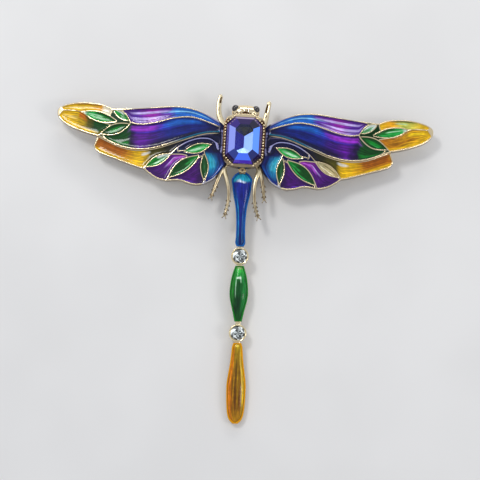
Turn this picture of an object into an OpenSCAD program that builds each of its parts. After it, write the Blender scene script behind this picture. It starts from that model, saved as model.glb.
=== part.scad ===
// Dragonfly brooch: a gold-tone casting with enamel cells, a step-cut stone, a jointed-looking
// tail that lies below it on a jump ring, and a plain pin on its back. Millimetres, +Z up.
// It lies face up: the floor is z = 0, +Y points to the head, and the origin is the middle of
// the brooch's own box, on the floor.

/* [Wings] */
// Reach of one wing from the middle of the body to its tip
wing_len = 32.5; // [26:0.5:40]
// Depth that the wing outlines are drawn to, front to back
wing_chord = 15; // [12:0.5:18]
// Height of the forewing's face beside the body
fore_top = 5.9; // [5.4:0.1:6.4]
// How far the wing tip lies below the wing's root
wing_droop = 2.6; // [1.2:0.2:3]
// Thickness of the cast wing plates
plate_t = 1.3; // [1.1:0.1:1.5]
// How far the hindwing's face lies under the forewing's
hind_step = 0.8; // [0.5:0.1:0.9]

/* [Enamel] */
// Width of the raised wires between two cells
wire_w = 0.3; // [0.25:0.05:0.4]
// Depth of the cells below the wires
cell_depth = 0.5; // [0.4:0.05:0.6]
// Clearance between an enamel fill and the metal around it
enamel_gap = 0.05; // [0.02:0.01:0.08]
// How far the fill stays below the top of the wires
fill_recess = 0.08; // [0.04:0.02:0.14]

/* [Stone and setting] */
// Width of the step-cut stone
stone_w = 6; // [5:0.2:6.6]
// Length of the step-cut stone
stone_l = 8; // [7:0.2:8.6]
// Size of its cut corners along each edge
stone_corner = 1.35; // [1:0.05:1.6]
// Height of the crown above the girdle
crown_h = 1.5; // [1.1:0.1:1.8]
// Thickness of the girdle
girdle_t = 0.25; // [0.15:0.05:0.35]
// Depth of the pavilion below the girdle
pavilion_h = 1.9; // [1.4:0.1:2]
// Height of the girdle's top above the floor
girdle_z = 7; // [6.8:0.1:7.4]
// Clearance between any stone and its seat
stone_gap = 0.05; // [0.03:0.01:0.08]
// Wall of the setting round the stone
setting_wall = 0.42; // [0.34:0.02:0.5]
// Pitch of the beads milled into the setting's edge
bead_pitch = 0.56; // [0.5:0.02:0.8]
// Depth of the cuts between the beads
bead_cut = 0.26; // [0.16:0.02:0.34]

/* [Body] */
// Width of the block under the setting
base_w = 6.2; // [5.6:0.1:6.6]
// Length of the block under the setting
base_l = 6.8; // [6.2:0.1:7]
// Width of the head across the eyes
head_w = 4.7; // [4:0.1:5.2]
// Thickness of the head, front to back
head_d = 2.5; // [2.1:0.1:2.8]
// Diameter of an eye
eye_d = 1.3; // [1.1:0.1:1.5]
// Depth of the notch behind the block in which the jump ring hangs
notch_l = 0.65; // [0.4:0.05:0.8]

/* [Legs] */
// Reach of a front leg ahead of the stone's middle
front_leg_reach = 8.45; // [7.6:0.1:9.4]
// Reach of the legs behind the stone's middle
rear_leg_reach = 12.9; // [11:0.2:14]
// Width of a front leg where it leaves the body
leg_w = 1.1; // [0.8:0.05:1.2]
// Width of the other legs where they leave the body
rear_leg_w = 0.85; // [0.7:0.05:0.95]
// Thickness of the cast legs
leg_t = 0.9; // [0.7:0.05:1]
// Length of the barbs along a leg
barb_l = 0.36; // [0.3:0.02:0.5]

/* [Tail] */
// Length of the blue drop
blue_l = 12.75; // [10:0.25:15]
// Width of the blue drop
blue_w = 3.45; // [2.8:0.05:4]
// Length of the green drop
green_l = 9.5; // [8:0.5:12]
// Width of the green drop
green_w = 3.15; // [2.6:0.05:3.8]
// Length of the amber drop
amber_l = 13.7; // [11:0.1:16]
// Width of the amber drop
amber_w = 3.3; // [2.8:0.05:4]
// Diameter of the two round stones
round_stone_d = 2.4; // [2:0.1:2.8]
// Wall of the cups that hold them, and of the drops' rims
rim_t = 0.26; // [0.2:0.02:0.34]
// Gap that shows between a cup and the drop above or below it
link_gap = 0.15; // [0.1:0.05:0.3]
// Depth of the metal trays of the tail
tray_t = 1.2; // [1:0.05:1.5]
// Rise of the enamel above a tray, at its widest
dome_h = 0.95; // [0.6:0.05:1.2]
// How far the tail swings to its left as it lies
tail_swing = 1.6; // [0:0.1:3]

/* [Jump ring] */
// Diameter of the ring's middle line
ring_d = 1.4; // [1.2:0.05:1.6]
// Diameter of its wire
ring_wire = 0.38; // [0.3:0.02:0.42]
// Diameter of the two holes that it passes through
eye_hole_d = 0.72; // [0.6:0.02:0.8]
// Height of the ring's middle above the floor
ring_z = 4.15; // [4:0.05:4.3]

/* [Pin back] */
// Length of the bar on the back
bar_l = 25; // [20:1:28]
// Width of the bar
bar_w = 2.2; // [1.8:0.1:2.6]
// Thickness of the bar
bar_t = 0.8; // [0.6:0.1:0.9]
// Height of the bar's underside above the floor
bar_z = 2.2; // [2:0.05:2.3]
// How far the bar lies ahead of the stone's middle
bar_y = 0.6; // [0:0.1:1]
// Diameter of the pin wire
pin_d = 0.8; // [0.7:0.05:1]
// Length of the hinge block and of the catch, along the bar
foot_l = 2.4; // [2:0.1:3]

/* [Hidden] */

// Colours as the photograph shows them
gold = [0.86, 0.68, 0.34];
navy = [0.08, 0.14, 0.5];
blue = [0.08, 0.3, 0.75];
teal = [0.05, 0.5, 0.62];
purple = [0.3, 0.08, 0.55];
amber = [0.85, 0.55, 0.05];
leaf_green = [0.05, 0.5, 0.2];

// Small overlaps where metal joins metal, and where a cut passes a face
weld = 0.3;
past = 1;
round_fn = 48;
slab_fn = 720;

// Places that follow from the sizes above
pocket_w = stone_w + 2 * stone_gap;
pocket_l = stone_l + 2 * stone_gap;
setting_w = pocket_w + 2 * setting_wall;
setting_l = pocket_l + 2 * setting_wall;
setting_corner = stone_corner + setting_wall * 0.6;
setting_top = girdle_z + 0.15;
setting_under = ring_z + ring_d / 2 + ring_wire / 2 + 0.15;
base_z = bar_z + bar_t + stone_gap;
pocket_z = girdle_z - girdle_t - pavilion_h - 0.1;
head_y = setting_l / 2 + head_d * 0.25;
head_z = setting_top - head_d / 2 - 0.05;
leg_z = base_z + 0.5;
slab_r = (wing_len * wing_len + wing_droop * wing_droop) / (2 * wing_droop);
hind_top = fore_top - hind_step;

// Clearance between the wire of the ring and the metal it passes
ring_gap = 0.02;

// Metal round the holes of the lug and of the tail's eye
lug_wall = 0.28;

// Metal between the tail's eye and the blue drop
eye_neck = 0.12;

// How far the cups stand above the trays, and the round stones' girdles above the cups
cup_step = 0.35;
stone_step = 0.06;

// Clearance between the pin wire and the floor
pin_lift = 0.35;

// The ring's middle lies just behind the notch in the block, so that the body's lug and the
// tail's eye both have room on it
lug_r = eye_hole_d / 2 + lug_wall;
lug_t = ring_d * 0.42;
ring_y = -(base_l / 2 - notch_l + eye_hole_d / 2 + ring_d / 2 + ring_gap);
lug_y = ring_y + ring_d / 2;
tail_top_y = ring_y - ring_d / 2;

// Places along the tail, measured from its eye
cup_r = round_stone_d / 2 + stone_gap + rim_t;
blue_y = eye_hole_d / 2 + eye_neck;
upper_cup_y = blue_y + blue_l + link_gap + cup_r;
green_y = upper_cup_y + cup_r + link_gap;
lower_cup_y = green_y + green_l + link_gap * 3 + cup_r;
amber_y = lower_cup_y + cup_r + link_gap;
tail_len = amber_y + amber_l;

// The tail slopes down until the far end of its underside touches the floor
tail_half = tray_t - 0.1;
tail_slope = asin(ring_z / norm([tail_len, tail_half])) - atan(tail_half / tail_len);

// Wing outlines, root to tip, as [out, fore]: percent of wing_len and of wing_chord
LEAD = [
    [8, 11], [12.3, 20.3], [16.3, 25.4], [21.8, 31.3], [28, 35.8], [35, 37.6], [42, 36.9],
    [48.8, 35.2], [55.8, 33.6], [62.7, 32.6], [70.4, 31.7]
];
LEAD_TIP = [
    [70.4, 31.7], [75.6, 36.2], [82, 38.2], [89, 38.2], [95.3, 35.6], [98.8, 32], [100, 28.5]
];
TRAIL_TIP = [[100, 28.5], [99.6, 21.8], [96.2, 14.4], [90.2, 7.8], [83, 2.6], [77.4, -0.4]];
TRAIL = [
    [77.4, -0.4], [72.9, -4.6], [68.7, -8.9], [63.9, -12.4], [57.6, -14.4], [51, -13.7],
    [45, -10.8], [38.2, -5.6], [31.3, 0.4], [25.1, 5.3], [19.5, 8.5], [13.5, 9.6], [8, 9.4]
];
HIND_RIM_1 = [
    [78.6, -5.5], [79.3, -12], [77.2, -17.5], [72.7, -21.7], [67.8, -25], [62.2, -29.2],
    [56.5, -33.3], [52.2, -35.6]
];
HIND_RIM_2 = [[52.2, -35.6], [48.6, -41.5], [44.4, -46.6], [39.8, -48.6]];
HIND_RIM_3 = [
    [39.8, -48.6], [35.4, -47.4], [31.8, -47.7], [28.2, -50.2], [24, -51.6], [19.9, -50.2]
];
HIND_RIM_4 = [[19.9, -50.2], [15.6, -44.9], [12.2, -37], [9.4, -27]];

// Wires inside the wings, in the same percents
MID_WIRE = [
    [8, 10.6], [13.3, 15.8], [19.4, 20.8], [26.4, 25.1], [31.5, 25.7], [37.4, 23.8],
    [42.6, 20.8], [48.7, 16.9], [55.4, 15], [60.4, 16.6]
];
TIP_WIRE = [[100, 28.5], [97, 29], [92, 28.8], [87.2, 27.6]];
RIDGE = [
    [38, -16.4], [34.6, -8.8], [30, -2.4], [25.4, 1.6], [21.7, 2.9], [17.9, 2.3],
    [15, -1.4], [13.8, -8], [11.6, -13]
];
ROOT_EDGE = [[11.8, -5], [11.8, 4]];
NOOK = [[34.6, -13.4]];
STEM = [[30.2, -17.8], [33, -17], [38, -17.4]];

// Leaves: [base], [tip], belly to the left and to the right of base-to-tip, as a share of
// the leaf's length
LEAF_1 = [[60.8, 18], [70.4, 31.2], 0.17, 0.15];
LEAF_2 = [[67.2, 16.9], [87.2, 27.6], 0.12, 0.13];
LEAF_3 = [[60.6, 14.8], [76.3, 2.2], 0.15, 0.17];
LEAF_4 = [[38, -16.6], [51.6, -33.6], 0.15, 0.15];
LEAF_5 = [[17.2, -4], [31.6, -14], 0.15, 0.17];
LEAF_6 = [[22.8, -17], [39.2, -44.8], 0.17, 0.13];
LEAF_7 = [[20.7, -14], [19.8, -46.6], 0.12, 0.15];

// Legs in plan, from the body to the foot, as [out, fore]: shares of the reach
FRONT_LEG_LEFT = [
    [0.3, 0.12], [0.45, 0.38], [0.535, 0.56], [0.556, 0.75], [0.545, 0.88], [0.527, 0.97]
];
FRONT_LEG_RIGHT = [[0.3, 0.12], [0.38, 0.4], [0.42, 0.58], [0.445, 0.74], [0.47, 0.88]];
MID_LEG_LEFT = [[0.15, -0.2], [0.27, -0.37], [0.322, -0.51], [0.358, -0.63], [0.395, -0.74]];
MID_LEG_RIGHT = [[0.15, -0.2], [0.235, -0.36], [0.268, -0.48], [0.292, -0.61], [0.31, -0.74]];
HIND_LEG_LEFT = [
    [0.15, -0.2], [0.242, -0.33], [0.205, -0.48], [0.166, -0.625], [0.162, -0.76], [0.178, -0.88],
    [0.2, -0.98]
];
HIND_LEG_RIGHT = [
    [0.15, -0.2], [0.215, -0.34], [0.184, -0.49], [0.172, -0.635], [0.182, -0.77], [0.206, -0.88],
    [0.243, -0.98]
];

// The whole brooch is shifted so that the origin is the middle of its box
front_y = max([for (q = front_leg(FRONT_LEG_LEFT, -1)) q[1]]);
back_y = tail_top_y - tail_len * cos(tail_slope) * cos(tail_swing);
shift_y = -(front_y + back_y) / 2;

// Tail drops, from the top: [along, half width], as shares of the length and the half width
BLUE_ROWS = [
    [0, 0.4], [0.03, 0.72], [0.09, 1], [0.17, 0.97], [0.3, 0.84], [0.48, 0.57],
    [0.68, 0.46], [0.86, 0.46], [0.95, 0.5], [1, 0.34]
];
GREEN_ROWS = [
    [0, 0.46], [0.07, 0.6], [0.22, 0.84], [0.44, 1], [0.6, 0.94], [0.8, 0.66], [0.92, 0.5],
    [1, 0.4]
];
AMBER_ROWS = [
    [0, 0.4], [0.05, 0.54], [0.13, 0.6], [0.27, 0.72], [0.48, 0.97], [0.6, 1], [0.75, 0.96],
    [0.87, 0.86], [0.95, 0.66], [1, 0.26]
];

// Curves

// A point on the smooth curve through p[i] and p[i + 1], a share f of the way along
function curve_point(p, i, f) =
    let (a = p[max(i - 1, 0)], b = p[i], c = p[i + 1], d = p[min(i + 2, len(p) - 1)])
    0.5 * (2 * b + (c - a) * f + (2 * a - 5 * b + 4 * c - d) * f * f
        + (3 * b - a - 3 * c + d) * f * f * f);

// The smooth curve through all the points of p, with n steps between two of them
function curve(p, n = 3) = [
    for (i = [0:len(p) - 2]) for (k = [0:n - 1]) curve_point(p, i, k / n),
    p[len(p) - 1]
];

// The points of p without the first few and the last few
function part_of(p, first, last) = [for (i = [first:len(p) - 1 - last]) p[i]];

function reversed(p) = [for (i = [len(p) - 1:-1:0]) p[i]];

// Percents to millimetres on the wing
function on_wing(p) = [for (q = p) [q[0] * wing_len / 100, q[1] * wing_chord / 100]];

// One edge of a leaf from a share f0 to f1 of the way from base to tip: side is 1 for the
// left edge and -1 for the right one
function leaf_edge(leaf, side, f0 = 0, f1 = 1, n = 8) =
    let (
        ends = on_wing([leaf[0], leaf[1]]),
        along = ends[1] - ends[0],
        across = side * (side > 0 ? leaf[2] : leaf[3]) * [-along[1], along[0]]
    )
    [for (k = [0:n]) let (f = f0 + (f1 - f0) * k / n) ends[0] + along * f + across * sin(180 * f)];

// A closed outline without points that lie closer than a small step to the next one
function without_doubles(p, step = 0.06) = [
    for (i = [0:len(p) - 1]) if (norm(p[i] - p[(i + 1) % len(p)]) > step) p[i]
];

function signed_area(p) = 0.5 * sum([
    for (i = [0:len(p) - 1]) let (a = p[i], b = p[(i + 1) % len(p)]) a[0] * b[1] - a[1] * b[0]
]);

function sum(v, i = 0) = i < len(v) ? v[i] + sum(v, i + 1) : 0;

// The unit normal of the edge from a to b, on its left
function left_of(a, b) = let (d = b - a) [-d[1], d[0]] / norm(d);

// Where two edges meet once each has moved by d along its unit normal; a and b lie on them
function crossing(a, normal_a, b, normal_b, d) =
    let (reach_a = normal_a * a + d, reach_b = normal_b * b + d)
    [reach_a * normal_b[1] - reach_b * normal_a[1], reach_b * normal_a[0] - reach_a * normal_b[0]]
    / (normal_a[0] * normal_b[1] - normal_a[1] * normal_b[0]);

// A closed outline moved inwards by d, without the edges that this leaves shorter than a step
function inset(outline, d, step = 0.04) =
    let (
        p = without_doubles(outline),
        turn = sign(signed_area(p)),
        m = len(p),
        normals = [for (i = [0:m - 1]) turn * left_of(p[i], p[(i + 1) % m])],
        corners = [for (i = [0:m - 1])
            let (before = normals[(i + m - 1) % m], after = normals[i])
            p[i] + d * (before + after) / max(1 + before * after, 0.12)],
        kept = [for (i = [0:m - 1])
            let (edge = p[(i + 1) % m] - p[i])
            if ((corners[(i + 1) % m] - corners[i]) * edge > step * norm(edge)) i],
        last = len(kept) - 1
    )
    [for (k = [0:last])
        let (i = kept[k], j = kept[k > 0 ? k - 1 : last])
        (i - j + m) % m == 1 ? corners[i] : crossing(p[j], normals[j], p[i], normals[i], d)];

// Outlines of the cells

function fore_outline() = concat(
    curve(on_wing(LEAD)), curve(on_wing(LEAD_TIP)), curve(on_wing(TRAIL_TIP)),
    curve(on_wing(TRAIL))
);

// The hindwing reaches under the forewing's rear edge, where the two are one metal
function hind_outline() = concat(
    curve(on_wing(HIND_RIM_1)), curve(on_wing(HIND_RIM_2)), curve(on_wing(HIND_RIM_3)),
    curve(on_wing(HIND_RIM_4)), [[base_w / 2 - weld, -base_l / 2 + weld]],
    [for (q = reversed(curve(on_wing(TRAIL)))) q + [0, 2 * weld]]
);

function cell(name) =
    name == "fore_upper" ? concat(
        curve(on_wing(part_of(LEAD, 1, 1))), leaf_edge(LEAF_1, 1, 0.55, 0.05),
        reversed(curve(on_wing(part_of(MID_WIRE, 1, 0))))
    )
    : name == "fore_middle" ? concat(
        curve(on_wing(part_of(MID_WIRE, 1, 0))), leaf_edge(LEAF_3, -1, 0.05, 0.95),
        curve(on_wing(part_of(TRAIL, 1, 1)))
    )
    : name == "amber_upper" ? concat(
        curve(on_wing(part_of(LEAD_TIP, 0, 1)), 2), curve(on_wing(part_of(TIP_WIRE, 1, 0)), 2),
        leaf_edge(LEAF_2, 1, 0.95, 0.25)
    )
    : name == "amber_lower" ? concat(
        reversed(curve(on_wing(part_of(TIP_WIRE, 1, 0)))), curve(on_wing(part_of(TRAIL_TIP, 1, 0))),
        leaf_edge(LEAF_3, 1, 1, 0.56), leaf_edge(LEAF_2, -1, 0.44, 0.95)
    )
    : name == "hind_band" ? concat(
        curve(on_wing(HIND_RIM_1)), leaf_edge(LEAF_4, 1, 0.95, 0.05),
        curve(on_wing(part_of(RIDGE, 0, 2))), on_wing(ROOT_EDGE),
        reversed(curve(on_wing(part_of(TRAIL, 0, 1))))
    )
    : name == "hind_outer" ? concat(
        curve(on_wing(HIND_RIM_2)), leaf_edge(LEAF_6, 1, 0.95, 0.3), curve(on_wing(STEM)),
        leaf_edge(LEAF_4, -1, 0.08, 0.95)
    )
    : name == "hind_middle" ? concat(
        curve(on_wing(HIND_RIM_3)), leaf_edge(LEAF_7, 1, 0.95, 0.12),
        leaf_edge(LEAF_6, -1, 0.08, 0.95)
    )
    : name == "hind_root" ? concat(
        curve(on_wing(HIND_RIM_4), 2), reversed(curve(on_wing(part_of(RIDGE, 1, 0)))),
        on_wing(NOOK), leaf_edge(LEAF_5, 1, 0.92, 0), leaf_edge(LEAF_5, -1, 0.08, 0.3, 3),
        leaf_edge(LEAF_7, -1, 0.08, 0.85)
    )
    : let (leaf = leaf_named(name)) concat(leaf_edge(leaf, 1), leaf_edge(leaf, -1, 1, 0));

function leaf_named(name) =
    name == "leaf_1" ? LEAF_1
    : name == "leaf_2" ? LEAF_2
    : name == "leaf_3" ? LEAF_3
    : name == "leaf_4" ? LEAF_4
    : name == "leaf_5" ? LEAF_5
    : name == "leaf_6" ? LEAF_6
    : LEAF_7;

FORE_CELLS = ["fore_upper", "fore_middle", "amber_upper", "amber_lower", "leaf_1", "leaf_2", "leaf_3"];
HIND_CELLS = [
    "hind_band", "hind_outer", "hind_middle", "hind_root", "leaf_4", "leaf_5", "leaf_6", "leaf_7"
];

// Wings

// Everything under the wing's curved face, whose highest line lies at height top
module under_face(top) {
    translate([0, 0, top - slab_r])
        rotate([90, 0, 0])
            cylinder(r = slab_r, h = 4 * wing_chord, center = true, $fn = slab_fn);
}

// A plate with the given outline that follows the wing's curve
module wing_plate(outline, top, thick) {
    difference() {
        intersection() {
            linear_extrude(height = fore_top + past) polygon(outline);
            under_face(top);
        }
        under_face_of_inner(top, thick);
    }
}

// The cylinder that carries the underside of a plate
module under_face_of_inner(top, thick) {
    translate([0, 0, top - slab_r])
        rotate([90, 0, 0])
            cylinder(r = slab_r - thick, h = 4 * wing_chord + past, center = true, $fn = slab_fn);
}

// The hollow that an enamel cell fills
module cell_hollow(name, top) {
    difference() {
        linear_extrude(height = fore_top + past) polygon(inset(cell(name), wire_w / 2));
        under_face_of_inner(top, cell_depth);
    }
}

// One enamel fill, clear of the metal all round
module fill(name, top) {
    difference() {
        intersection() {
            linear_extrude(height = fore_top + past)
                polygon(inset(cell(name), wire_w / 2 + enamel_gap));
            under_face(top - fill_recess);
        }
        under_face_of_inner(top, cell_depth - enamel_gap);
    }
}

module placed() {
    translate([0, shift_y, 0]) children();
}

// side is 1 for the right wing and -1 for the left one
module on_side(side) {
    if (side > 0) children();
    else mirror([1, 0, 0]) children();
}

module fore_fill(name, side, shade) {
    color(shade) placed() on_side(side) fill(name, fore_top);
}

module hind_fill(name, side, shade) {
    color(shade) placed() on_side(side) fill(name, hind_top);
}

// Body

function cut_corner_outline(w, l, c) = [
    [w / 2 - c, -l / 2], [w / 2, -l / 2 + c], [w / 2, l / 2 - c], [w / 2 - c, l / 2],
    [c - w / 2, l / 2], [-w / 2, l / 2 - c], [-w / 2, c - l / 2], [c - w / 2, -l / 2]
];

module cut_corner_block(w, l, c, z0, z1) {
    translate([0, 0, z0]) linear_extrude(height = z1 - z0) polygon(cut_corner_outline(w, l, c));
}

// Cuts across one straight stretch of the setting's edge, from point a to point b
module bead_cuts(a, b) {
    run = norm(b - a);
    count = max(round(run / bead_pitch), 1);
    turn = atan2(b[1] - a[1], b[0] - a[0]);
    for (k = [0:count - 1])
        translate([a[0], a[1], setting_top - bead_cut])
            rotate([0, 0, turn])
                translate([(k + 0.5) * run / count - bead_pitch * 0.16, -setting_wall, 0])
                    cube([bead_pitch * 0.32, setting_wall * 2, bead_cut + past]);
}

// The setting: beads run along both sides and round the corners, and the edge is plain at the
// head and at the tail
module setting() {
    rim = cut_corner_outline(setting_w, setting_l, setting_corner);
    difference() {
        cut_corner_block(setting_w, setting_l, setting_corner, setting_under, setting_top);
        for (i = [0, 1, 2, 4, 5, 6]) bead_cuts(rim[i], rim[i + 1]);
    }
    cut_corner_block(base_w, base_l, stone_corner, base_z, setting_under + weld);
}

module head() {
    profile = [
        [0, -0.5], [0.34, -0.5], [0.62, -0.44], [0.88, -0.28], [1, 0], [0.88, 0.28],
        [0.62, 0.44], [0.34, 0.5], [0, 0.5]
    ];
    translate([0, head_y, head_z])
        rotate([0, 90, 0])
            rotate_extrude($fn = round_fn)
                polygon([for (q = profile) [q[0] * head_d / 2, q[1] * head_w]]);
}

module eye_ball(side, grow) {
    translate([side * head_w * 0.37, head_y + head_d * 0.2, head_z + head_d * 0.2])
        sphere(d = eye_d + 2 * grow, $fn = round_fn);
}

// Directions at one point of a path: along it, and to its left
function path_side(path, i) = left_of(path[max(i - 1, 0)], path[min(i + 1, len(path) - 1)]);

function path_along(path, i) = let (across = path_side(path, i)) [across[1], -across[0]];

// The corners that a leg has at one point of its path, on its left (side 1) or right (side -1):
// from row first_barb on a barb points to the foot, and with toes the foot is forked
function leg_corners(path, i, side, w, tip_w, first_barb, toe) =
    let (
        m = len(path) - 1,
        half = (w + (tip_w - w) * i / m) / 2,
        across = side * path_side(path, i),
        along = path_along(path, i),
        edge = path[i] + across * half
    )
    i == m ? (toe > 0 ? [edge, edge + along * toe + across * toe * 0.4] : [edge])
    : i < first_barb ? [edge]
    : [
        edge, edge + along * barb_l + across * barb_l * 0.5,
        edge + (along - across * 0.2) * barb_l * 0.4
    ];

// The end of a leg is a blunt nose, or the crotch between two toes
function leg_outline(path, w, tip_w, first_barb, toe) =
    let (m = len(path) - 1)
    concat(
        [for (i = [0:m]) each leg_corners(path, i, 1, w, tip_w, first_barb, toe)],
        [path[m] + path_along(path, m) * (toe > 0 ? toe * 0.2 : tip_w * 0.45)],
        [for (i = [m:-1:0]) each reversed(leg_corners(path, i, -1, w, tip_w, first_barb, toe))]
    );

// side is 1 for the right of the body
function leg_path(rows, reach, side) = curve([for (q = rows) [side * q[0], q[1]] * reach], 2);

function front_leg(rows, side) =
    let (path = leg_path(rows, front_leg_reach, side))
    leg_outline(path, leg_w, leg_w * 0.66, len(path), 0);

function rear_leg(rows, side) =
    let (path = leg_path(rows, rear_leg_reach, side))
    leg_outline(path, rear_leg_w, rear_leg_w * 0.5, ceil(len(path) * 0.55), barb_l * 1.4);

// The claw folded against the inner side of a front leg shows as a slot
module claw_slot(rows, side) {
    path = leg_path(rows, front_leg_reach, side);
    near = side * leg_w * 0.1;
    far = side * leg_w * 0.26;
    first = ceil(len(path) * 0.55);
    last = len(path) - 2;
    translate([0, 0, leg_z + leg_t * 0.6]) linear_extrude(height = leg_t) polygon(concat(
        [for (i = [first:last]) path[i] + path_side(path, i) * near],
        [for (i = [last:-1:first]) path[i] + path_side(path, i) * far]
    ));
}

module legs() {
    difference() {
        for (outline = [front_leg(FRONT_LEG_LEFT, -1), front_leg(FRONT_LEG_RIGHT, 1)])
            translate([0, 0, leg_z]) linear_extrude(height = leg_t) polygon(without_doubles(outline));
        claw_slot(FRONT_LEG_LEFT, -1);
        claw_slot(FRONT_LEG_RIGHT, 1);
    }
    for (outline = [
        rear_leg(MID_LEG_LEFT, -1), rear_leg(MID_LEG_RIGHT, 1),
        rear_leg(HIND_LEG_LEFT, -1), rear_leg(HIND_LEG_RIGHT, 1)
    ])
        translate([0, 0, leg_z]) linear_extrude(height = leg_t) polygon(without_doubles(outline));
}

// The lug behind the block
module lug() {
    translate([0, 0, ring_z - lug_t / 2])
        linear_extrude(height = lug_t)
            union() {
                translate([0, lug_y]) circle(r = lug_r, $fn = round_fn);
                translate([-lug_r * 0.8, lug_y])
                    square([lug_r * 1.6, -lug_y - base_l / 2 + notch_l + weld]);
            }
}

module lug_hole() {
    translate([0, lug_y, ring_z - lug_t]) cylinder(d = eye_hole_d, h = 2 * lug_t, $fn = round_fn);
}

// The notch behind the block for the jump ring and the lug
module ring_notch() {
    notch_w = 2 * lug_r + ring_wire;
    translate([-notch_w / 2, -base_l / 2 - past, base_z - past])
        cube([notch_w, notch_l + past, setting_under - base_z + past]);
}

// The seat of the step-cut stone
module stone_pocket() {
    cut_corner_block(pocket_w, pocket_l, stone_corner, pocket_z, girdle_z + past);
}

// One wing: both plates with the hollows of their cells
module wing() {
    difference() {
        union() {
            wing_plate(fore_outline(), fore_top, plate_t);
            wing_plate(hind_outline(), hind_top, plate_t);
        }
        for (name = FORE_CELLS) cell_hollow(name, fore_top);
        for (name = HIND_CELLS) cell_hollow(name, hind_top);
        stone_pocket();
    }
}

module body() {
    difference() {
        union() {
            difference() {
                setting();
                ring_notch();
            }
            head();
            lug();
        }
        stone_pocket();
        for (side = [-1, 1]) eye_ball(side, stone_gap);
        lug_hole();
    }
}

// Wings, setting, head, legs and lug are one casting
module casting() {
    color(gold) placed() union() {
        for (side = [-1, 1]) on_side(side) wing();
        body();
        legs();
    }
}

// Stones

// A convex cut stone from its corners
module cut_stone(corners) {
    hull() polyhedron(corners, [[for (i = [0:len(corners) - 1]) i]]);
}

function ring_of(outline, z) = [for (q = outline) [q[0], q[1], z]];

// Step cut: a girdle, two steps of the crown up to the table, and a keel below
module sapphire() {
    steps = [[0.42, 0.55], [1.5, 1]];
    keel = stone_l - stone_w;
    color("mediumblue") placed() translate([0, 0, girdle_z])
        cut_stone(concat(
            [for (s = steps)
                let (
                    w = stone_w - 2 * s[0],
                    l = stone_l - 2 * s[0],
                    corner = stone_corner * (1 - s[0] * 0.3)
                )
                each ring_of(cut_corner_outline(w, l, corner), s[1] * crown_h)],
            ring_of(cut_corner_outline(stone_w, stone_l, stone_corner), 0),
            ring_of(cut_corner_outline(stone_w, stone_l, stone_corner), -girdle_t),
            ring_of(cut_corner_outline(stone_w / 2, stone_l / 2 + keel / 2, stone_corner / 2),
                -girdle_t - pavilion_h * 0.62),
            [[0, keel / 2, -girdle_t - pavilion_h], [0, -keel / 2, -girdle_t - pavilion_h]]
        ));
}

function round_ring(count, r, z, turn) = [
    for (k = [0:count - 1]) let (a = turn + 360 * k / count) [r * cos(a), r * sin(a), z]
];

// Brilliant cut: eight-sided table, a ring of kite corners, a sixteen-sided girdle and a point
module round_stone(y, shade) {
    r = round_stone_d / 2;
    color(shade) on_tail() translate([0, -y, cup_top + stone_step])
        cut_stone(concat(
            round_ring(8, r * 0.56, r * 0.42, 22.5), round_ring(8, r * 0.82, r * 0.25, 0),
            round_ring(16, r, 0, 0), round_ring(16, r, -r * 0.07, 0), [[0, 0, -r * 0.78]]
        ));
}

// Tail

// The tail's own frame: its eye at the origin, its length along -Y, lying down to the floor
module on_tail() {
    placed() translate([0, tail_top_y, ring_z])
        rotate([tail_slope, 0, 0])
            rotate([0, 0, tail_swing])
                children();
}

// Half width of the enamel where a drop runs out to a point
tip_half = 0.12;
tray_z = -tail_half;
tray_top = tray_z + tray_t;
cup_top = tray_top + cup_step;

// Half widths along a drop, from its top, as [place along the tail, half width]
function drop_rows(rows, y, l, w, less = 0) = [
    for (q = curve(rows, 2))
        [y + less + q[0] * (l - 2 * less), max(q[1] * w / 2, tip_half + rim_t) - less]
];

function drop_outline(rows) = concat(
    [for (q = rows) [q[1], -q[0]]],
    [for (q = reversed(rows)) [-q[1], -q[0]]]
);

module tray(rows, y, l, w) {
    translate([0, 0, tray_z])
        linear_extrude(height = tray_t) polygon(drop_outline(drop_rows(rows, y, l, w)));
}

module tray_hollow(rows, y, l, w) {
    translate([0, 0, tray_z + rim_t])
        linear_extrude(height = tray_t) polygon(drop_outline(drop_rows(rows, y, l, w, rim_t)));
}

// Points across one section of a drop's enamel: flat below, domed above
function dome_section(y, half, top_half, steps) =
    let (bottom = tray_z + rim_t + enamel_gap, edge = tray_top - fill_recess)
    concat(
        [[-half, -y, bottom]],
        [for (k = [0:steps]) let (a = 180 - 180 * k / steps)
            [half * cos(a), -y, edge + dome_h * half / top_half * sin(a)]],
        [[half, -y, bottom]]
    );

// Enamel of one drop, lofted through the same rows as its tray
module drop_fill(rows, y, l, w) {
    steps = 8;
    sections = drop_rows(rows, y, l, w, rim_t + enamel_gap);
    per = steps + 3;
    last = len(sections) - 1;
    polyhedron(
        [for (s = sections) each dome_section(s[0], s[1], w / 2, steps)],
        concat(
            [[for (k = [0:per - 1]) k]],
            [for (i = [0:last - 1]) for (k = [0:per - 1])
                let (a = i * per + k, b = i * per + (k + 1) % per) each [
                    [a, a + per, b], [b, a + per, b + per]
                ]],
            [[for (k = [per - 1:-1:0]) last * per + k]]
        )
    );
}

module cup(y) {
    translate([0, -y, tray_z]) cylinder(r = cup_r, h = cup_top - tray_z, $fn = round_fn);
}

module cup_hollow(y) {
    translate([0, -y, cup_top - round_stone_d * 0.42])
        cylinder(d = round_stone_d + 2 * stone_gap, h = round_stone_d, $fn = round_fn);
}

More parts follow.
